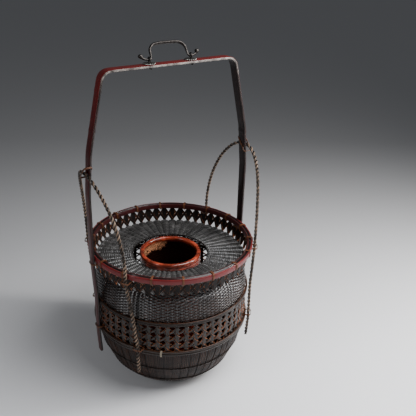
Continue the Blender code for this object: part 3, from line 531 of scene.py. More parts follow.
def strand_finish(name, skin, pale, edge, roughness, coat=0.1, wear=0.6, grain=GRAIN, face=None, shine=0.2):
    """Split bamboo or cane: fibres along the strand, one grain width apart, and edge colour on the points
    marked edge: mostly its cut sides, but painted shade on the tray's weavers and a painted highlight on the
    handle's sides and the loops' crests.

    skin is the lacquered outside and pale its thin worn fibres. With a face colour, only points marked skin
    have the skin.
    """
    made, tree = empty_material(name)
    strand = add(tree, "UVMap", {"uv_map": "Strand"})
    place = add(tree, "TexCoord", out="Object")
    fibre = noise(tree, stretched(tree, strand, (1 / (GRAIN_STRETCH * grain), 1 / grain, 1)), 1.0, 3.0, 0.6)
    # Patches a couple of centimetres wide, where worn fibres and the edge colour show more
    cloud = noise(tree, place, 55.0, 4.0, 0.65)
    pale_share = times(tree, mapped(tree, fibre, 0.42, 0.70), mapped(tree, cloud, 0.40, 0.70, 0.15))
    shade = add(tree, "Math", {
        "operation": "MULTIPLY_ADD", "use_clamp": True, 0: mark(tree, "tone"), 1: 0.40, 2: pale_share,
    })
    base = mixed(tree, shade, rgba(skin), rgba(pale))
    if face is not None:
        base = mixed(tree, mark(tree, "skin"), mixed(tree, shade, rgba(face), rgba(pale)), base)
    # Edge colour in patches: cut and worn edges on most strands, painted shade or a painted highlight on a
    # few
    rubbed_and_painted_edge = times(tree, mark(tree, "edge"), mapped(tree, cloud, 0.38, 0.62, 0.1, wear))
    base = mixed(tree, rubbed_and_painted_edge, base, rgba(edge))
    return surfaced(made, tree, {
        "Base Color": base, "Roughness": mapped(tree, fibre, 0.3, 0.8, roughness - 0.08, roughness + 0.14),
        "Normal": bumped(tree, 0.6, FIBRE_RELIEF, fibre), "Specular IOR Level": shine,
        "Coat Weight": coat, "Coat Roughness": 0.10,
    })


def lacquer_finish(name, outside, inside, lit_gold):
    """Vermilion lacquer brushed on wood: level streaks, glossy. Inside brown, with a golden painted lit patch
    at the back.
    """
    made, tree = empty_material(name)
    place = add(tree, "TexCoord", out="Object")
    # Brush streaks two millimetres high that run level
    streak = noise(tree, stretched(tree, place, (60, 60, 500)), 1.0)
    cloud = noise(tree, place, 90.0)
    flakes = noise(tree, place, 260.0)
    thick = mapped(tree, times(tree, streak, cloud), 0.20, 0.36)
    base = mixed(tree, thick, rgba(outside, 0.28), rgba(outside, 1.1))
    # The painted lit patch fades downwards within three centimetres of the lip, and round both sides from the
    # back, where the light falls
    level = add(tree, "SeparateXYZ", {"Vector": place}, "Z")
    top = HIGH["water_tube"].z
    high = mapped(tree, level, top - 0.030, top - 0.012)
    back = add(tree, "VectorMath", {"operation": "DOT_PRODUCT", 0: place, 1: (-0.26, 0.966, 0.0)}, "Value")
    lit_patch = times(tree, times(tree, high, mapped(tree, back, 0.029, 0.038)), flakes)
    # Specks of two millimetres, lighter and darker, within the painted lit patch
    speck = mapped(tree, noise(tree, place, 520.0, 2.0), 0.38, 0.62)
    lit_specks = mixed(tree, speck, rgba(lit_gold, 0.35), rgba(lit_gold, 1.7))
    inner = mixed(tree, mapped(tree, lit_patch, 0.26, 0.36), rgba(inside), lit_specks)
    return surfaced(made, tree, {
        "Base Color": mixed(tree, mark(tree, "skin"), inner, base),
        "Roughness": mapped(tree, streak, 0.3, 0.7, 0.16, 0.34), "Normal": bumped(tree, 0.35, 0.00012, cloud),
        "Coat Weight": 0.6, "Coat Roughness": 0.10,
    })


def iron_finish(name, patina, rub):
    """Forged iron under a patina: satin, mottled in small patches, paler where it is worn."""
    made, tree = empty_material(name)
    mottle = noise(tree, add(tree, "TexCoord", out="Object"), 400.0, 4.0)
    return surfaced(made, tree, {
        "Base Color": mixed(tree, mapped(tree, mottle, 0.45, 0.7), rgba(patina), rgba(patina, rub)),
        "Roughness": mapped(tree, mottle, 0.3, 0.7, 0.42, 0.26), "Normal": bumped(tree, 0.3, 0.0001, mottle),
        "Metallic": 1.0,
    })


# Each strand's material: its name, skin, worn fibres, edge colour (cut edges, or painted light on a few),
# roughness and what else differs
STRANDS = {
    # Smoked bamboo: dark satin lacquer in which pale fibres show, copper where a splint was cut
    "splint": ("Smoked bamboo splint", "smoked", "smoked_pale", "copper", 0.30, {"wear": 1.1}),
    # Ribs of the bowl: smoked and lacquered nearly black, with faint brown edges
    "rib": (
        "Smoked bamboo rib", "rib", "#2c2623", "#5f3d2e", 0.42,
        {"coat": 0.0, "wear": 1.0, "shine": 0.12},
    ),
    # Strips of the tray's wall: nearly black faces, painted darker than the open weave's splints as shade
    # under the rim, between worn copper edges
    "wall": (
        "Smoked bamboo wall strip", "rib", "#1e1a18", "copper", 0.40,
        {"coat": 0.0, "wear": 1.1, "shine": 0.08},
    ),
    # Fine weavers: split thin and polished, so their curved tops give small bright glints
    "weaver": (
        "Polished bamboo weaver", "weaver", "#1c1918", "copper", 0.20,
        {"coat": 1.0, "wear": 0.03, "grain": 0.0004},
    ),
    # Weavers of the tray: the lacquer is worn thin to a neutral grey bloom on their tops, and their sides are
    # painted dark as shade between the rows
    "floor": (
        "Rubbed bamboo weaver", "tray", "tray_pale", "#12100f", 0.32,
        {"coat": 0.2, "wear": 1.4, "grain": 0.0004, "shine": 0.45},
    ),
    # Backs of the bowl's ribs: unpolished, so they stay dark between the splints
    "lining": ("Dark bamboo lining", "#0e0b0a", "#1c1714", "smoked", 0.6, {"coat": 0.0}),
    # Red lacquer on bamboo: deep red and glossy, darker where the lacquer is thick
    "red": ("Red lacquered bamboo", "red", "#4d1312", "#4a2b28", 0.30, {"coat": 0.25}),
    # Inner hoop of the rim: the same lacquer, a little duller, with its colour painted darker and browner as
    # shade on the rim's inner side
    "inner_hoop": ("Worn red lacquered bamboo", "#3d1617", "#2a1312", "#33201c", 0.36, {}),
    # Handle: flat bamboo with its lacquered skin outside, a dark split face inside and pale grey sides, a
    # painted highlight on the bar's sides that is partly worn by hands
    "handle": (
        "Lacquered handle bamboo", "handle", "#2e100f", "#b0a8a0", 0.34,
        {"coat": 0.12, "wear": 0.9, "face": linear("#0f0c0b"), "grain": 0.0008},
    ),
    # Binding cane of the rim: split rattan, orange brown with a thin shine
    "cane": ("Split binding cane", "cane", "#3f2516", "copper", 0.40, {"wear": 0.2}),
    # Cane of the handle's ties: the same rattan under dark lacquer
    "lashing": ("Dark binding cane", "lashing", "#7a5034", "lashing", 0.38, {"wear": 0.2}),
    # Loop cane: round rattan, dark in the grooves, with paler outer crests: a painted highlight, partly worn
    # by hands
    "twist": ("Twisted loop cane", "twist", "#2c2521", "#86705e", 0.32, {"wear": 1.0}),
    # Thread: dull, pale twisted fibre
    "thread": ("Pale thread", "thread", "#6f665a", "thread", 0.7, {"coat": 0.0, "grain": 0.0003}),
    # Hoops of the body: thicker strips, a little browner than the weave
    "hoop": ("Smoked bamboo hoop", "hoop", "#332a25", "copper", 0.32, {"wear": 0.12}),
}


def make_look(word, shades):
    """The finish that a word names. A shade is a hex colour or the name of one of the settings."""
    if word in STRANDS:
        name, *colours, roughness, rest = STRANDS[word]
        skin, pale, edge = (linear(code) if code[0] == "#" else getattr(shades, code) for code in colours)
        return strand_finish(name, skin, pale, edge, roughness, **rest)
    if word == "lacquer":
        return lacquer_finish("Vermilion lacquer", shades.vermilion, shades.liner, shades.lit_gold)
    if word == "petal":
        return iron_finish("Grey metal seat", shades.petal, 1.3)
    return iron_finish("Patinated iron", shades.iron, 1.7)


MADE = {}


def look(word):
    """The finish that a word names, made once."""
    if word not in MADE:
        MADE[word] = make_look(word, bpy.context.scene.basket_colours)
    return MADE[word]


# Body of the basket

RIB_DEPTH = 0.0012
RIB_START = 0.0004
# Share of the way from stake to stake that a rib fills, and share of its own place that a splint fills
RIB_SHARE = SPLINT_SHARE = 0.86
LINING_HOLE = 0.001
FOOT_WIDTH = 0.007
NECK_WIDTH = 0.005
HOOP_WAVE = 0.0001
# How far the lacing stands off the ribs, how far its two strands swing, and their thickness
LACING_OFF, LACING_REACH, LACING_THICKNESS = 0.0006, 0.0004, 0.0009
# Depths of a strip from the wall's outside to the middle of the weave, and how far strips swing from there
WEAVE_MIDDLE, WEAVE_REACH = 1.6, 1.1
# Height of the first crossing and of the next, as shares of the band's height
CROSSING_SHARES = (0.18, 0.47)
# How far hand work strays, in radians round the basket, and outwards in metres
SPLINT_STRAY, STRIP_STRAY, STAKE_STRAY = 0.0009, 0.0012, 0.0008
SPLINT_LIFT = 0.0001
# Close weave: start below the top of the hoop, middle of the weave, swing and waver of a weaver
ROW_START, CLOSE_MIDDLE, CLOSE_REACH, WAVER = 0.0006, 0.0010, 0.0005, 0.00012
WEAVER_SHARE = 0.88
CLOSE_STAKE_DEPTH, CLOSE_STAKE_WIDTH, CLOSE_STAKE_THICKNESS = 0.0012, 0.0022, 0.0007
# The thread's place round the basket, its turns, their width and thickness, and its room round the hoops
THREAD_TURN, THREAD_TURNS = math.radians(-124.4), 3
THREAD_WIDTH, THREAD_THICKNESS, THREAD_ROOM = 0.0009, 0.0007, 0.0009


def bowl_ribs(weave):
    """Thin splints side by side, one group to each stake: r(z) - d/2 at turn (i + place) / n."""
    top, base = LOW["lattice_band"].z - GAP, LOW["bowl"].z
    height = level_run(base + RIB_START, top, np.linspace(1, 0, 26))
    place = (np.arange(weave.splints) - (weave.splints - 1) / 2) / weave.splints
    turn = turns_of(weave.stakes)[:, :, None] + RIB_SHARE * place[None, :, None] * math.tau / weave.stakes
    turn = turn.reshape(-1, 1) + rng.normal(0, SPLINT_STRAY, (turn.size, 1))
    width = math.tau * body_radius(height) / weave.stakes * RIB_SHARE / weave.splints * SPLINT_SHARE
    lift = rng.normal(0, SPLINT_LIFT, turn.shape)
    path = polar(body_radius(height)[None] - RIB_DEPTH / 2 + lift, turn, height[None])
    section = oblong(np.broadcast_to(width, path.shape[:2]), RIB_DEPTH, 8, 0.5)
    return sweep(path, body_facing(turn, height[None]), section)


def bowl_lining():
    """One thin dark shell behind the ribs: from the middle of the base up the outside and down the inside."""
    top, base = LOW["lattice_band"].z - GAP, LOW["bowl"].z
    up = np.linspace(base, top, 30)
    outside = np.stack((body_radius(up) - RIB_DEPTH, up), -1)
    inside = np.stack((body_radius(up) - SKIN, np.maximum(up, base + SKIN)), -1)[::-1]
    profile = np.concatenate((((LINING_HOLE, base),), outside, inside, ((LINING_HOLE, base + SKIN),)))
    return vessel(profile, 108)


def lattice_strips(levels, low, high, direction, size, weave, radius_at):
    """Crossing strips: turn = panel + 1/2 + s (z - z1) / (z2 - z1), at a depth d (mid + reach s cos(turn)).

    So each passes over the other kind in the panels and under it at the stakes, or the other way round.
    """
    width, depth = size
    height = np.linspace(low, high, 44)[None]
    crossing, rise = levels
    across = 0.5 + direction * (height - crossing) / rise
    offset = depth * (WEAVE_MIDDLE + WEAVE_REACH * direction * np.cos(math.tau * across))
    turn = turns_of(weave.stakes) + across * math.tau / weave.stakes
    turn = turn + rng.normal(0, STRIP_STRAY, (weave.stakes, 1))
    path = polar(radius_at(height) - offset, turn, height)
    return sweep(path, polar(1.0, turn, 0.0), oblong(width, depth, 12, 0.4))


def lattice_stakes(low, high, size, weave, radius_at, widest=0.0):
    """Upright flat stakes between the two kinds of strips. A widest size makes them wider half way up."""
    width, depth = size
    height = np.linspace(low, high, 13)[None]
    turn = turns_of(weave.stakes) + rng.normal(0, STAKE_STRAY, (weave.stakes, 1)) + 0 * height
    path = polar(radius_at(height) - WEAVE_MIDDLE * depth, turn, height)
    swell = max(0, widest - width) * (1 - np.abs(np.linspace(-1, 1, 13)))
    return sweep(path, polar(1.0, turn, 0.0), oblong(width + swell + 0 * turn, depth, 12, 0.4))


def open_weave(levels, low, high, sizes, weave, radius_at, widest=0.0):
    """Stakes and both kinds of strips of an open wall. sizes are (width, depth) of a stake and of a strip."""
    made = Bodies().add(lattice_stakes(low, high, sizes[0], weave, radius_at, widest), edge=sides_of(12))
    for direction in (1, -1):
        made.add(lattice_strips(levels, low, high, direction, sizes[1], weave, radius_at), edge=sides_of(12))
    return made


def shoulder_weavers(weave):
    """Rings over and under thin stakes: r(z) - mid + reach * flattened cos(n t), turned on each row."""
    low, high = HIGH["upper_hoop"].z - ROW_START, BODY_HEIGHT
    row = np.arange(weave.rows)[:, None]
    height = level_run(low, high, (row + 0.5) / weave.rows)
    turn = np.linspace(0, math.tau, 8 * weave.stakes, endpoint=False)[None]
    wave = np.cos(weave.stakes * turn) * (-1.0) ** row
    wave = wave / np.sqrt(wave * wave + 0.25)
    height = height + WAVER * np.sin(7 * turn + row * 2.4)
    path = polar(body_radius(height) - CLOSE_MIDDLE + CLOSE_REACH * wave, turn, height)
    section = oblong((high - low) / weave.rows * WEAVER_SHARE, weave.weaver_depth, 8, 1.0)
    return sweep(path, body_facing(turn, height), section, ring=True)


def shoulder_stakes(weave):
    """Thin stakes between the weavers, two to each stake of the open weave."""
    height = level_run(LOW["shoulder"].z, BODY_HEIGHT, np.linspace(0, 1, 14))[None]
    turn = turns_of(2 * weave.stakes) + 0 * height
    path = polar(body_radius(height) - CLOSE_STAKE_DEPTH, turn, height)
    return sweep(path, body_facing(turn, height), oblong(CLOSE_STAKE_WIDTH, CLOSE_STAKE_THICKNESS, 6, 0.6))


def hoop_thread():
    """One pale thread tied round both lower hoops at the front left."""
    low, high = LOW["lower_hoop_bottom"].z, HIGH["lower_hoop_top"].z
    middle = polar(hoop_face("lower_hoop_top") - HOOP_DEPTH / 2, THREAD_TURN, (low + high) / 2)[None]
    half = np.array(((HOOP_DEPTH / 2 + THREAD_ROOM, (high - low) / 2 + THREAD_ROOM, 0),))
    frames = [axes_at(THREAD_TURN, upright=True)]
    return windings(middle, half, frames, THREAD_TURNS, THREAD_WIDTH, THREAD_THICKNESS)


class BASKET_OT_bowl(bpy.types.Operator):
    """Builds the ribbed bowl, its lacing rows and its foot ring."""
    bl_idname = "basket.bowl"
    bl_label = "Bowl"

    def execute(self, context):
        weave = context.scene.basket_weave
        Bodies().add(bowl_ribs(weave), edge=sides_of(8)).finish("bowl_ribs", "rib", "smoked_bamboo", ["bowl"])
        Bodies().add(bowl_lining()).finish("bowl_lining", "lining", "smoked_bamboo", ["bowl"])
        for name in ("bowl_lacing_lower", "bowl_lacing_upper"):
            height = (LOW[name].z + HIGH[name].z) / 2
            radius = body_radius(height) + LACING_OFF
            grid = twine(radius, height, weave.stakes, LACING_REACH, LACING_THICKNESS)
            Bodies().add(grid, ring=True).finish(f"{name}_twine", "hoop", "smoked_bamboo", [name])
        low, high = LOW["foot_ring"], HIGH["foot_ring"]
        grid = hoop(high.x - FOOT_WIDTH, low.z, high.z, FOOT_WIDTH, square=0.45)
        Bodies().add(grid, ring=True, edge=sides_of(12)).finish(
            "foot_ring_bamboo", "hoop", "smoked_bamboo", ["foot_ring"])
        return {"FINISHED"}


class BASKET_OT_band(bpy.types.Operator):
    """Builds the open weave of stakes and crossing strips, and the hoops at its edges."""
    bl_idname = "basket.band"
    bl_label = "Open weave and hoops"

    def execute(self, context):
        weave = context.scene.basket_weave
        foot = HIGH["lower_hoop_top"].z
        room = LOW["upper_hoop"].z - foot
        levels = foot + CROSSING_SHARES[0] * room, (CROSSING_SHARES[1] - CROSSING_SHARES[0]) * room
        sizes = (weave.stake_width, weave.strip_depth), (weave.strip_width, weave.strip_depth)
        low, high = LOW["lattice_band"].z, HIGH["lattice_band"].z
        open_weave(levels, low, high, sizes, weave, body_radius).finish(
            "lattice_strips", "splint", "dark_weave", ["lattice_band"])
        for name, count in (("upper_hoop", 2), ("lower_hoop_top", 1), ("lower_hoop_bottom", 1)):
            inner = min(body_radius(LOW[name].z), body_radius(HIGH[name].z)) + GAP
            grid = hoop(inner, LOW[name].z, HIGH[name].z, HOOP_DEPTH, count, square=0.8, wave=HOOP_WAVE)
            Bodies().add(grid, ring=True, edge=sides_of(12)).finish(
                f"{name}_cane", "hoop", "smoked_bamboo", [name])
        Bodies().add(hoop_thread()).finish(
            "hoop_thread", "thread", "copper_cane", ["lower_hoop_top", "lower_hoop_bottom"])
        return {"FINISHED"}


class BASKET_OT_shoulder(bpy.types.Operator):
    """Builds the close weave of the shoulder and the ring at the neck."""
    bl_idname = "basket.shoulder"
    bl_label = "Close weave"

    def execute(self, context):
        weave = context.scene.basket_weave
        woven = Bodies().add(shoulder_weavers(weave), ring=True, edge=sides_of(8))
        woven.add(shoulder_stakes(weave), edge=sides_of(6))
        woven.finish("shoulder_weave", "weaver", "dark_weave", ["shoulder"])
        low, high = LOW["neck_ring"], HIGH["neck_ring"]
        grid = hoop(high.x - NECK_WIDTH, low.z, high.z, NECK_WIDTH, 2, wave=HOOP_WAVE)
        Bodies().add(grid, ring=True).finish("neck_ring_cane", "hoop", "smoked_bamboo", ["neck_ring"])
        return {"FINISHED"}


# Tray and rim

# Tops of the floor's weavers: how far under the floor's top they start and how deep they dip between groups
FLOOR_SINK, FLOOR_DIP = 0.0006, 0.0022
# Share of a row that a weaver fills, how far it slants as a share of a row, and how flat its tops are
FLOOR_WEAVER_SHARE, SLANT_SHARE, FLATNESS = 0.80, 0.16, 0.45
# The floor's splints: depth of their middle, thickness, and shares of a stake's turn for place and width
SPLINT_DEPTH, SPLINT_THICKNESS = 0.0015, 0.0009
SPLINT_PLACE_SHARE, SPLINT_WIDTH_SHARE = 0.25, 0.24
# The twined edge of the floor's hole: its place out from and below the edge, its twists, swing and thickness
EDGE_OUT, EDGE_DOWN, EDGE_TWISTS, EDGE_REACH, EDGE_THICKNESS = 0.0006, 0.0009, 81, 0.0005, 0.0011
WALL_TOP_DROP = 0.0020
# Height from crossing to crossing in the wall, in times the height from its middle to the hoop
WALL_RISE_RATIO = 2.1
RIM_WAVE = 0.00006
# Room between the two beads, in radii, and how far a tie's start strays round it
BEAD_PLACE, TIE_STRAY = 1.1, 0.4


def floor_weavers(weave):
    """Rings that ride over one group of splints per stake: z = top + h (|cos(n t / 2)|^q - 1), slanted."""
    rows = weave.floor_rows
    pitch = (FLOOR_EDGE - HOLE_RADIUS) / rows
    radius = HOLE_RADIUS + pitch * (np.arange(rows)[:, None] + 0.5)
    turn = np.linspace(0, math.tau, 8 * weave.stakes, endpoint=False)[None]
    swell = np.abs(np.cos(weave.stakes * turn / 2)) ** FLATNESS
    slant = SLANT_SHARE * pitch * np.sin(weave.stakes * turn)
    height = floor_height(radius) - FLOOR_SINK + FLOOR_DIP * (swell - 1)
    path = polar(radius + slant + WAVER * np.sin(5 * turn + radius * 900), turn, height)
    section = oblong(pitch * FLOOR_WEAVER_SHARE, weave.weaver_depth, 6, 0.9)
    return sweep(path, np.array((0, 0, 1.0)), section, ring=True)


def floor_splints(weave):
    """Three thin splints to each stake, from the hole to the wall, under the weavers."""
    radius = np.linspace(HOLE_RADIUS + GAP, FLOOR_EDGE, 8)[None]
    place = (np.arange(3) - 1)[None, None, :] * SPLINT_PLACE_SHARE * math.tau / weave.stakes
    turn = (turns_of(weave.stakes)[:, :, None] + place).reshape(-1, 1) + 0 * radius
    path = polar(radius, turn, floor_height(radius) - SPLINT_DEPTH)
    width = SPLINT_WIDTH_SHARE * math.tau / weave.stakes * radius + 0 * turn
    return sweep(path, np.array((0, 0, 1.0)), oblong(width, SPLINT_THICKNESS, 6, 0.7))


class BASKET_OT_tray(bpy.types.Operator):
    """Builds the woven floor of the tray and its open wall."""
    bl_idname = "basket.tray"
    bl_label = "Tray"

    def execute(self, context):
        weave = context.scene.basket_weave
        # Each crossing of a weaver over a group of splints has its own tone, so the rows show
        tone = np.repeat(rng.random((weave.floor_rows, weave.stakes)), 8, axis=1)[..., None]
        # The weavers' sides take the dark edge colour: painted shade between the rows
        Bodies().add(floor_weavers(weave), ring=True, edge=sides_of(6), tone=tone).finish(
            "tray_floor_weave", "floor", "dark_weave", ["tray_floor"])
        floor = Bodies().add(floor_splints(weave))
        edge = HOLE_RADIUS + EDGE_OUT, HIGH["tray_floor"].z - EDGE_DOWN
        floor.add(twine(*edge, EDGE_TWISTS, EDGE_REACH, EDGE_THICKNESS), ring=True)
        floor.finish("tray_floor_splints", "rib", "dark_weave", ["tray_floor"])
        middle = (FLOOR_TOP + RIM_LOW) / 2
        levels = middle, WALL_RISE_RATIO * (RIM_LOW - middle)
        sizes = (weave.wall_stake_width, weave.wall_depth), (weave.wall_strip_width, weave.wall_depth)
        low, high = FLOOR_LOW + GAP, RIM_HIGH - WALL_TOP_DROP
        # The wall's strips take a look painted darker than the open weave's, as shade under the rim
        open_weave(levels, low, high, sizes, weave, wall_radius, weave.wall_stake_swell).finish(
            "tray_wall_strips", "wall", "smoked_bamboo", ["tray_wall"])
        return {"FINISHED"}


def axes_at(turn, tilt=0.0, upright=False):
    """Out, sideways and up at a turn round Z. tilt turns the last two round the first, upright swaps them."""
    out = np.array((math.cos(turn), math.sin(turn), 0))
    side, up = np.array((-math.sin(turn), math.cos(turn), 0)), np.array((0, 0, 1.0))
    side, up = math.cos(tilt) * side + math.sin(tilt) * up, math.cos(tilt) * up - math.sin(tilt) * side
    return np.array((out, up, side) if upright else (out, side, up))


def node_spans(names, frames):
    """Middle and half sizes of CAD nodes along the three directions in frames."""
    corners = [node_points(name) @ axes.T for name, axes in zip(names, frames)]
    low = np.array([c.min(0) for c in corners])
    high = np.array([c.max(0) for c in corners])
    return np.einsum("ki,kij->kj", (low + high) / 2, np.asarray(frames)), (high - low) / 2


def windings(middle, half, frames, turns, width, depth, points=8, stations=22):
    """Flat cane wound round an oblong: middle + a cos^q A + b sin^q B + (t / full turn - n / 2) pitch C.

    frames gives the directions A, B and C of each tie. Both ends lie inside, where they don't show.
    """
    frames = np.asarray(frames)
    along = np.linspace(0, turns * math.tau, turns * stations)[None]
    t = math.pi + along + rng.random((len(frames), 1)) * TIE_STRAY
    a = (half[:, :1] - depth / 2) * power(np.cos(t), 0.4)
    b = (half[:, 1:2] - depth / 2) * power(np.sin(t), 0.4)
    # Three hundredths of a cane's width stay free between its turns
    c = (along / math.tau - turns / 2) * width * 1.03
    out = a[..., None] * frames[:, None, 0] + b[..., None] * frames[:, None, 1]
    path = middle[:, None] + out + c[..., None] * frames[:, None, 2]
    return sweep(path, out, oblong(width, depth, points, 0.6))


class BASKET_OT_rim(bpy.types.Operator):
    """Builds the two lacquered rim hoops, the thin canes between them and their ties."""
    bl_idname = "basket.rim"
    bl_label = "Rim"

    def execute(self, context):
        sizes = context.scene.basket_hoops
        # The inner hoop takes the red lacquer painted darker, as shade
        for name, word in (("rim_outer_hoop", "red"), ("rim_inner_hoop", "inner_hoop")):
            inner = HIGH[name].x - RIM_HOOP_DEPTH
            grid = hoop(inner, RIM_LOW, RIM_HIGH, RIM_HOOP_DEPTH, points=16, square=0.5, wave=RIM_WAVE)
            Bodies().add(grid, ring=True, edge=sides_of(16)).finish(
                f"{name}_lacquered", word, "red_lacquer", [name])
        turn = np.linspace(0, math.tau, 216, endpoint=False)[None]
        radius = WALL_TOP_RADIUS - WALL_THICKNESS / 2 + np.array(((-BEAD_PLACE,), (BEAD_PLACE,))) * sizes.bead
        path = polar(radius, turn, RIM_HIGH - sizes.bead)
        grid = sweep(path, polar(1.0, turn, 0.0), oblong(2 * sizes.bead, 2 * sizes.bead, 8, 1.0), ring=True)
        Bodies().add(grid, ring=True).finish("rim_bead", "weaver", "smoked_bamboo", ["tray_wall"])
        names = sorted(name for name in frame["nodes"] if name.startswith("rim_tie_"))
        middles = [node_points(name).mean(0) for name in names]
        frames = [axes_at(math.atan2(p[1], p[0]), upright=True) for p in middles]
        spans = node_spans(names, frames)
        grid = windings(*spans, frames, sizes.tie_turns, sizes.cane_width, sizes.cane_depth)
        Bodies().add(grid, edge=sides_of(8)).finish("rim_ties", "cane", "copper_cane", names)
        return {"FINISHED"}


# Handle and loops

STRIP_FOOT_WIDTH = 0.0096
BAR_HALF_LENGTH, BAR_CORNER_RADIUS = 0.096, 0.015
# The legs lean in from this height to their upper bend, and more from there to the bar
LEAN_HEIGHT, BEND_HEIGHT, BEND_RADIUS = 0.305, 0.362, 0.080
# How far the legs are drawn in at their upper bend, where the loops cross them, and at the feet
BEND_DRAW_IN, CROSSING_DRAW_IN, FOOT_DRAW_IN = 0.0045, 0.0025, 0.002
# Bamboo nodes: places and length as shares of the strip, and how much wider and thicker they are
KNOT_SHARES = np.array((0.155, 0.335, 0.385, 0.60, 0.70, 0.86))
KNOT_LENGTH_SHARE, KNOT_WIDTH, KNOT_THICKNESS = 0.0022, 0.0006, 0.0007
STRIP_FACING_HEIGHT = 0.25
# Painted light fades from the bar down the legs: the pale grey sides, a painted highlight partly worn by
# hands, from one height, and the red skin, darkened below into the face colour as painted shade, from another
GREY_HEIGHT, GREY_FADE, GREY_LEAST = 0.44, 0.02, 0.05
RED_HEIGHT, RED_FADE, RED_LEAST = 0.36, 0.08, 0.35
# Radius of a loop, how far its two canes lie from its middle, their thickness, and width to thickness
LOOP_RADIUS, CANE_REACH, CANE_THICKNESS, CANE_RATIO = 0.003, 0.0013, 0.0023, 1.2
# Over the arch's top the canes twist less, from one share of its height to another
SMOOTH_FROM_SHARE, SMOOTH_TO_SHARE, SMOOTH_LOSS = 5 / 6, 1, 0.6
LOOP_TIE_TILT, LOOP_TIE_SHARE = math.radians(45), 0.8


def strip_width(height):
    """Full width over the bar, narrower at the rim and the least at the feet."""
    full, least = HIGH["handle_hoop"].y * 2, STRIP_FOOT_WIDTH
    fall = np.clip((RIM_HIGH - height) / (RIM_HIGH - LOW["handle_hoop"].z), 0, 1)
    slim = np.clip((BEND_HEIGHT - height) / (BEND_HEIGHT - RIM_HIGH), 0, 1)
    return full - (full - least) * fall - (full - least) / 2 * slim * (1 - fall)


def handle_strip(depth):
    """One flat strip from foot to foot over the bar. Its nodes are low swellings: w + s exp(-(d / l)^2)."""
    side = side_places(depth / 2)
    bar = HIGH["handle_hoop"].z - depth / 2
    foot = (side[-1, 0] - FOOT_DRAW_IN, LOW["handle_hoop"].z)
    bend, lean = (side[0, 0] - BEND_DRAW_IN, BEND_HEIGHT), (side[0, 0], LEAN_HEIGHT)
    half = np.array(((BAR_HALF_LENGTH, bar), bend, lean, *side, foot))
    corners = np.concatenate((half[::-1] * (-1, 1), half))
    corners = np.stack((corners[:, 0], 0 * corners[:, 0], corners[:, 1]), -1)
    radii = [depth] * len(side) + [BEND_RADIUS, BEND_RADIUS, BAR_CORNER_RADIUS]
    route = eased(resample(rounded(corners, radii + radii[::-1]), 520), 3)
    along = np.linspace(0, 1, len(route))
    swell = np.exp(-((along[:, None] - KNOT_SHARES) / KNOT_LENGTH_SHARE) ** 2).sum(1)
    facing = np.stack((route[:, 0], 0 * along, route[:, 2] - STRIP_FACING_HEIGHT), -1)
    section = oblong(strip_width(route[:, 2]) + KNOT_WIDTH * swell, depth + KNOT_THICKNESS * swell, 16, 0.45)
    return sweep(route[None], facing[None], section[None])


def loop_turn(height):
    """Turn of a loop's strand from the handle: it leans over to another stake below the rim."""
    low, high = HIGH["loop_body_tie_right_front"].z, LOW["loop_rim_tie_right_front"].z
    fall = np.clip((high - height) / (high - low), 0, 1)
    return (RIM_STAKE + (BODY_STAKE - RIM_STAKE) * fall) * math.tau / STAKES


def loop_route(half, count):
    """Middle of a side loop: up from one hanging end, over the leg in an arch, and down to the other end."""
    places = side_places(half)
    high, low = LOW["loop_rim_tie_right_front"].z, HIGH["loop_body_tie_right_front"].z
    down = np.concatenate((
        places[1:2], ((places[1, 0], high),), places[2:4], ((places[4, 0], low),), places[4:],
        ((places[-1, 0] - FOOT_DRAW_IN, LOW["side_loop_right"].z),),
    ))
    rising = polar(down[::-1, 0], -loop_turn(down[::-1, 1]), down[::-1, 1])
    turn = np.linspace(0, math.pi, 60)
    top = HIGH["side_loop_right"].z - half
    apex = RIM_RADIUS + GAP + HANDLE_DEPTH + GAP + half - CROSSING_DRAW_IN
    arch = polar(
        places[0, 0] + (apex - places[0, 0]) * np.sin(turn), -RIM_STAKE * math.tau / STAKES * np.cos(turn),
        RIM_HIGH + (top - RIM_HIGH) * np.sin(turn),
    )
    route = np.concatenate((rising, arch, rising[::-1] * (1, -1, 1)))
    return eased(resample(route, count), 6)


def loop_strands(lay, count=1100):
    """Two canes twisted round the route: route + r (cos p up + sin p across), where p is one turn per lay."""
    route = loop_route(LOOP_RADIUS, count)
    step = np.linalg.norm(np.diff(route, axis=0), axis=1)
    share = (route[:, 2] - RIM_HIGH) / (HIGH["side_loop_right"].z - RIM_HIGH)
    smooth = np.clip((share - SMOOTH_FROM_SHARE) / (SMOOTH_TO_SHARE - SMOOTH_FROM_SHARE), 0, 1)
    phase = np.concatenate(((0,), np.cumsum(step * math.tau / lay * (1 - SMOOTH_LOSS * smooth[1:]))))
    run = run_of(route, False)
    across = unit(np.cross(run, unit(route * (1, 1, 0))))
    up = np.cross(across, run)
    phase = phase[None] + np.array(((0.0,), (math.pi,)))
    path = route + CANE_REACH * (np.cos(phase)[..., None] * up + np.sin(phase)[..., None] * across)
    ends = np.minimum(np.arange(count), np.arange(count)[::-1]) / 8
    thick = CANE_THICKNESS * np.sqrt(1 - (1 - np.clip(ends, 0.05, 1)) ** 2)
    return sweep(path, path - route, oblong(thick * CANE_RATIO, thick, 12, 0.9)[None])


def tie_places():
    """Names of the handle's and the loops' ties, and the directions that each is wound in."""
    names, frames = [], []
    for word, spin in (("right", 0.0), ("left", math.pi)):
        names += [f"leg_rim_tie_{word}", f"leg_body_tie_{word}", f"loop_leg_tie_{word}"]
        frames += [axes_at(spin), axes_at(spin), axes_at(spin, LOOP_TIE_TILT)]
        for kind in ("rim", "body"):
            for end in ("front", "back"):
                names.append(f"loop_{kind}_tie_{word}_{end}")
                middle = node_points(names[-1]).mean(0)
                frames.append(axes_at(math.atan2(middle[1], middle[0])))
    return names, frames


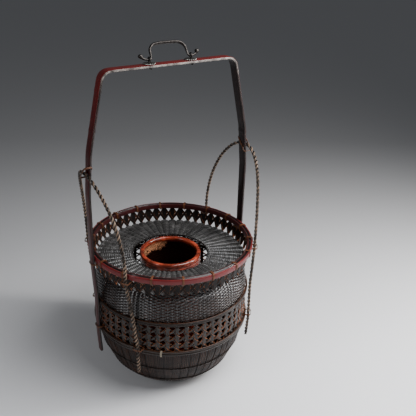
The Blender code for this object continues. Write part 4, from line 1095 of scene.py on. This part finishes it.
class BASKET_OT_handle(bpy.types.Operator):
    """Builds the handle's strip, the twisted side loops and all of their ties."""
    bl_idname = "basket.handle"
    bl_label = "Handle and side loops"

    def execute(self, context):
        sizes = context.scene.basket_hoops
        skin = (np.sin(section_turns(16)) > 0.3).astype(float)
        strip = handle_strip(sizes.strip_depth)
        height = strip.mean(2)[..., 2:]
        # Painted light by height: the pale grey sides, a painted highlight, show only on the bar, and the red
        # skin fades into the dark face colour down the legs as painted shade
        grey = np.clip((height - GREY_HEIGHT) / GREY_FADE, GREY_LEAST, 1)
        red = RED_LEAST + (1 - RED_LEAST) * np.clip((height - RED_HEIGHT) / RED_FADE, 0, 1)
        Bodies().add(strip, edge=sides_of(16) * (1 - skin) * grey, skin=skin * red, tone=0.3).finish(
            "handle_strip", "handle", "handle_bamboo", ["handle_hoop"])
        grid = loop_strands(sizes.lay)
        for word, sign in (("right", 1), ("left", -1)):
            # The outer crest of each cane takes the paler edge colour: a painted highlight, partly worn by
            # hands
            Bodies().add(grid * (sign, sign, 1), edge=(np.sin(section_turns(12)) > 0.6).astype(float)).finish(
                f"side_loop_{word}_cane", "twist", "twisted_cane", [f"side_loop_{word}"])
        names, frames = tie_places()
        middle, half = node_spans(names, frames)
        for place, name, axes in zip(middle, names, frames):
            place -= CROSSING_DRAW_IN * name.startswith("loop_leg_tie") * axes[0]
        grid = windings(middle, half, frames, 2, sizes.cane_width * LOOP_TIE_SHARE, sizes.cane_depth)
        Bodies().add(grid, edge=sides_of(8)).finish("handle_ties", "lashing", "copper_cane", names)
        return {"FINISHED"}


# Fittings

# Across as a share of half the span, up as a share of the rise, half width as a share of the rod's radius
BAIL_OUTLINE_SHARES = np.array((
    (0.00, 1.00, 2.50), (0.34, 0.99, 2.40), (0.66, 0.92, 2.10), (0.84, 0.64, 1.70), (0.87, 0.28, 1.30),
    (0.90, 0.04, 1.00), (1.00, 0.00, 1.00), (1.12, 0.01, 1.00), (1.25, 0.08, 1.30), (1.33, 0.19, 2.20),
    (1.37, 0.30, 2.30), (1.38, 0.38, 1.20),
))
BAIL_RISE = 0.0207
BAIL_LEAN = math.radians(35)
EYE_RADIUS = 0.0029
# Seats: how much wider than the CAD washer, depth of the petals' notches as a share, slope and rib of the top
SEAT_RATIO, NOTCH_SHARE, SEAT_RISE, PETAL_RISE = 1.25, 0.1, 0.0006, 0.0004
# Tube: how far its lip stands out and in, the roll's half height, and the base
LIP_OUT, LIP_IN, ROLL, TUBE_BASE = 0.0008, 0.0026, 0.0032, 0.004
TUBE_FOOT_ROUNDING, TUBE_HOLE = 0.002, 0.001


def bail_strap(rod):
    """A forged strap, wide and flat over its top, round in the eyes, with oval knobs at its curled ends."""
    knots = np.arange(len(BAIL_OUTLINE_SHARES), dtype=float)
    t = np.linspace(0, knots[-1], 60)
    across, up, width = (
        smooth_curve(t, np.stack((knots, BAIL_OUTLINE_SHARES[:, column]), -1)) for column in range(3)
    )
    cap = np.sqrt(1 - (1 - np.clip((knots[-1] - t) / 0.8, 0.03, 1)) ** 2)
    # The strap is half as thick again over its middle, and as thick as wide in its knobs
    thickening = 0.5 * np.clip(2 - t / 2, 0, 1) + (width - 1) * np.clip((t - 8) / 1.5, 0, 1)
    wide, thin = width * rod * cap, rod * cap * (1 + thickening)
    half = np.stack((across * PIN_X, 0 * t, up * BAIL_RISE), -1)
    path = np.concatenate((half[:0:-1] * (-1, 1, 1), half))
    wide, thin = np.concatenate((wide[:0:-1], wide)), np.concatenate((thin[:0:-1], thin))
    facing = np.cross(run_of(path, False), (0, -1.0, 0))
    grid = sweep(path[None], facing[None], oblong(2 * wide, 2 * thin, 14, 0.8)[None])
    c, s = math.cos(BAIL_LEAN), math.sin(BAIL_LEAN)
    return grid @ np.array(((1, 0, 0), (0, c, -s), (0, s, c))) + (0, 0, BAIL_AXIS)


def pin_wire(wire, side, count=110):
    """One wire: a bent end under the bar, up through it, round the eye, and down to the other end."""
    low, bar = LOW["bail_pin_right"].z + wire, LOW["bail_washer_right"].z
    gap = wire + GAP / 2
    stem = np.array(((0, wire * 0.2 - HIGH["bail_pin_right"].y, low), (0, -gap, low), (0, -gap, bar)))
    stem = rounded(stem, [wire], 6)
    opening = math.asin(gap / EYE_RADIUS)
    turn = np.linspace(1.5 * math.pi - opening, -0.5 * math.pi + opening, 40)
    loop = np.stack((0 * turn, EYE_RADIUS * np.cos(turn), BAIL_AXIS + EYE_RADIUS * np.sin(turn)), -1)
    route = resample(np.concatenate((stem, loop, stem[::-1] * (1, -1, 1))), count)
    ends = np.clip(np.minimum(np.arange(count), np.arange(count)[::-1]) / 3, 0.1, 1)
    thick = 2 * wire * np.sqrt(1 - (1 - ends) ** 2)
    path = route[None] + (PIN_X * side, 0, 0)
    return sweep(path, np.array((1.0, 0, 0)), oblong(thick, thick, 10, 1.0)[None])


def washer(node, hole, petals=16):
    """A ring with a petalled edge, R (1 - n + n |cos(p t / 2)|^0.6), and a rib along each petal.

    Its upper side also slopes up towards the hole.
    """
    low, high = LOW[node], HIGH[node]
    outer, middle = SEAT_RATIO * (high.x - low.x) / 2, (low + high) / 2
    turn = np.linspace(0, math.tau, 12 * petals, endpoint=False)[:, None]
    section = np.linspace(0, math.tau, 16, endpoint=False)[None]
    petal = np.abs(np.cos(petals * turn / 2)) ** 0.6
    share = (1 + power(np.cos(section), 0.4)) / 2
    radius = hole + (outer * (1 - NOTCH_SHARE + NOTCH_SHARE * petal) - hole) * share
    upper = power(np.sin(section), 0.4)
    rise = (SEAT_RISE * (1 - share) + PETAL_RISE * (petal - 1) * share) * (upper > 0)
    return (polar(radius, turn, middle.z + (high.z - low.z) / 2 * upper + rise) + (middle.x, 0, 0))[None]


class BASKET_OT_fittings(bpy.types.Operator):
    """Builds the swinging bail, its split pins and their washers."""
    bl_idname = "basket.fittings"
    bl_label = "Iron fittings"

    def execute(self, context):
        sizes = context.scene.basket_fittings
        Bodies().add(bail_strap(sizes.rod)).finish("bail_strap", "iron", "dark_iron", ["bail_handle"], "bail")
        for word, side in (("right", 1), ("left", -1)):
            Bodies().add(pin_wire(sizes.wire, side)).finish(
                f"bail_pin_{word}_wire", "iron", "dark_iron", [f"bail_pin_{word}"])
            node = f"bail_washer_{word}"
            Bodies().add(washer(node, 2 * sizes.wire + 2 * GAP), ring=True).finish(
                f"{node}_petals", "petal", "dark_iron", [node])
        return {"FINISHED"}


def tube_profile(wall):
    """Outline of the tube, from the middle of its underside over a rolled lip to the middle of its inside."""
    low, top, lip = LOW["water_tube"].z, HIGH["water_tube"].z, HIGH["water_tube"].x
    outer = lip - LIP_OUT
    inner = outer - wall
    edge = inner - LIP_IN
    turn = np.linspace(-0.15 * math.pi, 1.15 * math.pi, 22)
    across = (lip + edge) / 2 + (lip - edge) / 2 * power(np.cos(turn), 0.75)
    roll = np.stack((across, top - ROLL + ROLL * power(np.sin(turn), 0.75)), -1)
    rounding = TUBE_FOOT_ROUNDING
    outside = (
        (TUBE_HOLE, low), (outer - rounding, low), (outer - 0.3 * rounding, low + 0.3 * rounding),
        (outer, low + rounding), (outer, top - 0.02), (outer, top - 0.0085),
    )
    inside = (
        (inner, top - 0.0095), (inner, top - 0.03), (inner, low + 2 * TUBE_BASE),
        (inner - wall, low + TUBE_BASE), (TUBE_HOLE, low + TUBE_BASE),
    )
    skin = np.repeat((1.0, 0.0), (len(outside) + len(roll), len(inside)))
    return np.concatenate((outside, roll, inside)), skin


class BASKET_OT_tube(bpy.types.Operator):
    """Builds the lacquered water tube with its thick rolled lip."""
    bl_idname = "basket.tube"
    bl_label = "Water tube"

    def execute(self, context):
        profile, skin = tube_profile(context.scene.basket_fittings.tube_wall)
        Bodies().add(vessel(profile, 128), skin=skin[None, :, None]).finish(
            "water_tube_lacquered", "lacquer", "vermilion", ["water_tube"], "tube")
        return {"FINISHED"}


# Stage

CAMERA_PLACE = (-0.3618, -0.6745, 0.6225)
CAMERA_DOWN, CAMERA_TURN = math.radians(25.4), math.radians(-28.2)
SENSOR_WIDTH, CAMERA_SHIFT = 36.0, 0.091
FLOOR_HALF, FLOOR_DROP = 9.0, 0.0002
WORLD_TINT, WORLD_STRENGTH = (0.55, 0.57, 0.60, 1), 0.13
# Each light: its place, what it points at, its width and height, and its tint
LIGHTS = {
    # A tall narrow light at the right front, for the streaks on the close weave
    "key": ((0.70, -0.38, 0.50), (0, 0, 0.18), (0.08, 0.50), (1.0, 0.985, 0.96)),
    # A soft light over the front right, for the bright floor in front of the basket
    "over": ((0.30, -0.42, 0.80), (0.04, -0.85, 0), (0.7, 0.7), (0.97, 0.98, 1.0)),
    # A weak light at the left, for the handle's and the loops' edges
    "side": ((-0.95, -0.20, 0.60), (0, 0, 0.18), (0.20, 0.60), (0.97, 0.98, 1.0)),
}


def aimed_light(name, power_w):
    """A soft oblong light, turned towards what it points at."""
    place, target, size, tint = LIGHTS[name]
    light = bpy.data.lights.new(name, "AREA")
    light.shape = "RECTANGLE"
    (light.size, light.size_y), light.energy, light.color = size, power_w, tint
    made = bpy.data.objects.new(name, light)
    bpy.context.scene.collection.objects.link(made)
    made.location = place
    made.rotation_euler = (Vector(target) - made.location).to_track_quat("-Z", "Y").to_euler()


def paper_floor(tint):
    """A wide flat floor of white paper, matt, without gloss."""
    h = FLOOR_HALF
    floor = bpy.data.meshes.new("floor")
    floor.from_pydata([(-h, -h, 0), (h, -h, 0), (h, h, 0), (-h, h, 0)], [], [(0, 1, 2, 3)])
    made, tree = empty_material("Pale paper floor")
    floor.materials.append(surfaced(made, tree, {"Base Color": rgba(tint), "Roughness": 0.85}))
    plane = bpy.data.objects.new("floor", floor)
    plane.location.z = -FLOOR_DROP
    bpy.context.scene.collection.objects.link(plane)


class BASKET_OT_studio(bpy.types.Operator):
    """Sets up the camera, the soft light and the plain pale floor."""
    bl_idname = "basket.studio"
    bl_label = "Studio"

    def execute(self, context):
        scene, studio = context.scene, context.scene.basket_studio
        camera = bpy.data.objects.new("camera", bpy.data.cameras.new("camera"))
        scene.collection.objects.link(camera)
        camera.location = CAMERA_PLACE
        camera.rotation_euler = (math.pi / 2 - CAMERA_DOWN, 0, CAMERA_TURN)
        camera.data.lens, camera.data.sensor_width = studio.lens, SENSOR_WIDTH
        camera.data.shift_x = CAMERA_SHIFT
        scene.camera = camera
        paper_floor(studio.floor)
        for name in LIGHTS:
            aimed_light(name, getattr(studio, name))
        world = bpy.data.worlds.new("studio")
        world.use_nodes = True
        background = world.node_tree.nodes["Background"]
        background.inputs["Color"].default_value = WORLD_TINT
        background.inputs["Strength"].default_value = WORLD_STRENGTH
        scene.world = world
        return {"FINISHED"}


class BASKET_PT_panel(bpy.types.Panel):
    """Lists the pieces and the settings of the basket."""
    bl_idname = "BASKET_PT_panel"
    bl_label = "Flower basket"
    bl_space_type = "VIEW_3D"
    bl_region_type = "UI"
    bl_category = "Basket"

    def draw(self, context):
        for operator in OPERATORS:
            self.layout.operator(operator.bl_idname)
        for name in GROUPS:
            settings = getattr(context.scene, name)
            box = self.layout.box()
            for setting in settings.__annotations__:
                box.prop(settings, setting)


OPERATORS = (
    BASKET_OT_bowl, BASKET_OT_band, BASKET_OT_shoulder, BASKET_OT_tray, BASKET_OT_rim, BASKET_OT_handle,
    BASKET_OT_fittings, BASKET_OT_tube, BASKET_OT_studio,
)
GROUPS = {
    "basket_weave": BasketWeave, "basket_hoops": BasketHoops, "basket_fittings": BasketFittings,
    "basket_colours": BasketColours, "basket_studio": BasketStudio,
}


def register():
    """Adds the settings, the operators and the panel."""
    for group in (*GROUPS.values(), *OPERATORS, BASKET_PT_panel):
        bpy.utils.register_class(group)
    for name, group in GROUPS.items():
        setattr(bpy.types.Scene, name, PointerProperty(type=group))


def unregister():
    """Takes them all away again."""
    for name in GROUPS:
        delattr(bpy.types.Scene, name)
    for group in (BASKET_PT_panel, *reversed(OPERATORS), *reversed(GROUPS.values())):
        bpy.utils.unregister_class(group)


def main():
    register()
    for operator in OPERATORS:
        getattr(bpy.ops.basket, operator.bl_idname.split(".")[1])()


if __name__ == "__main__":
    main()
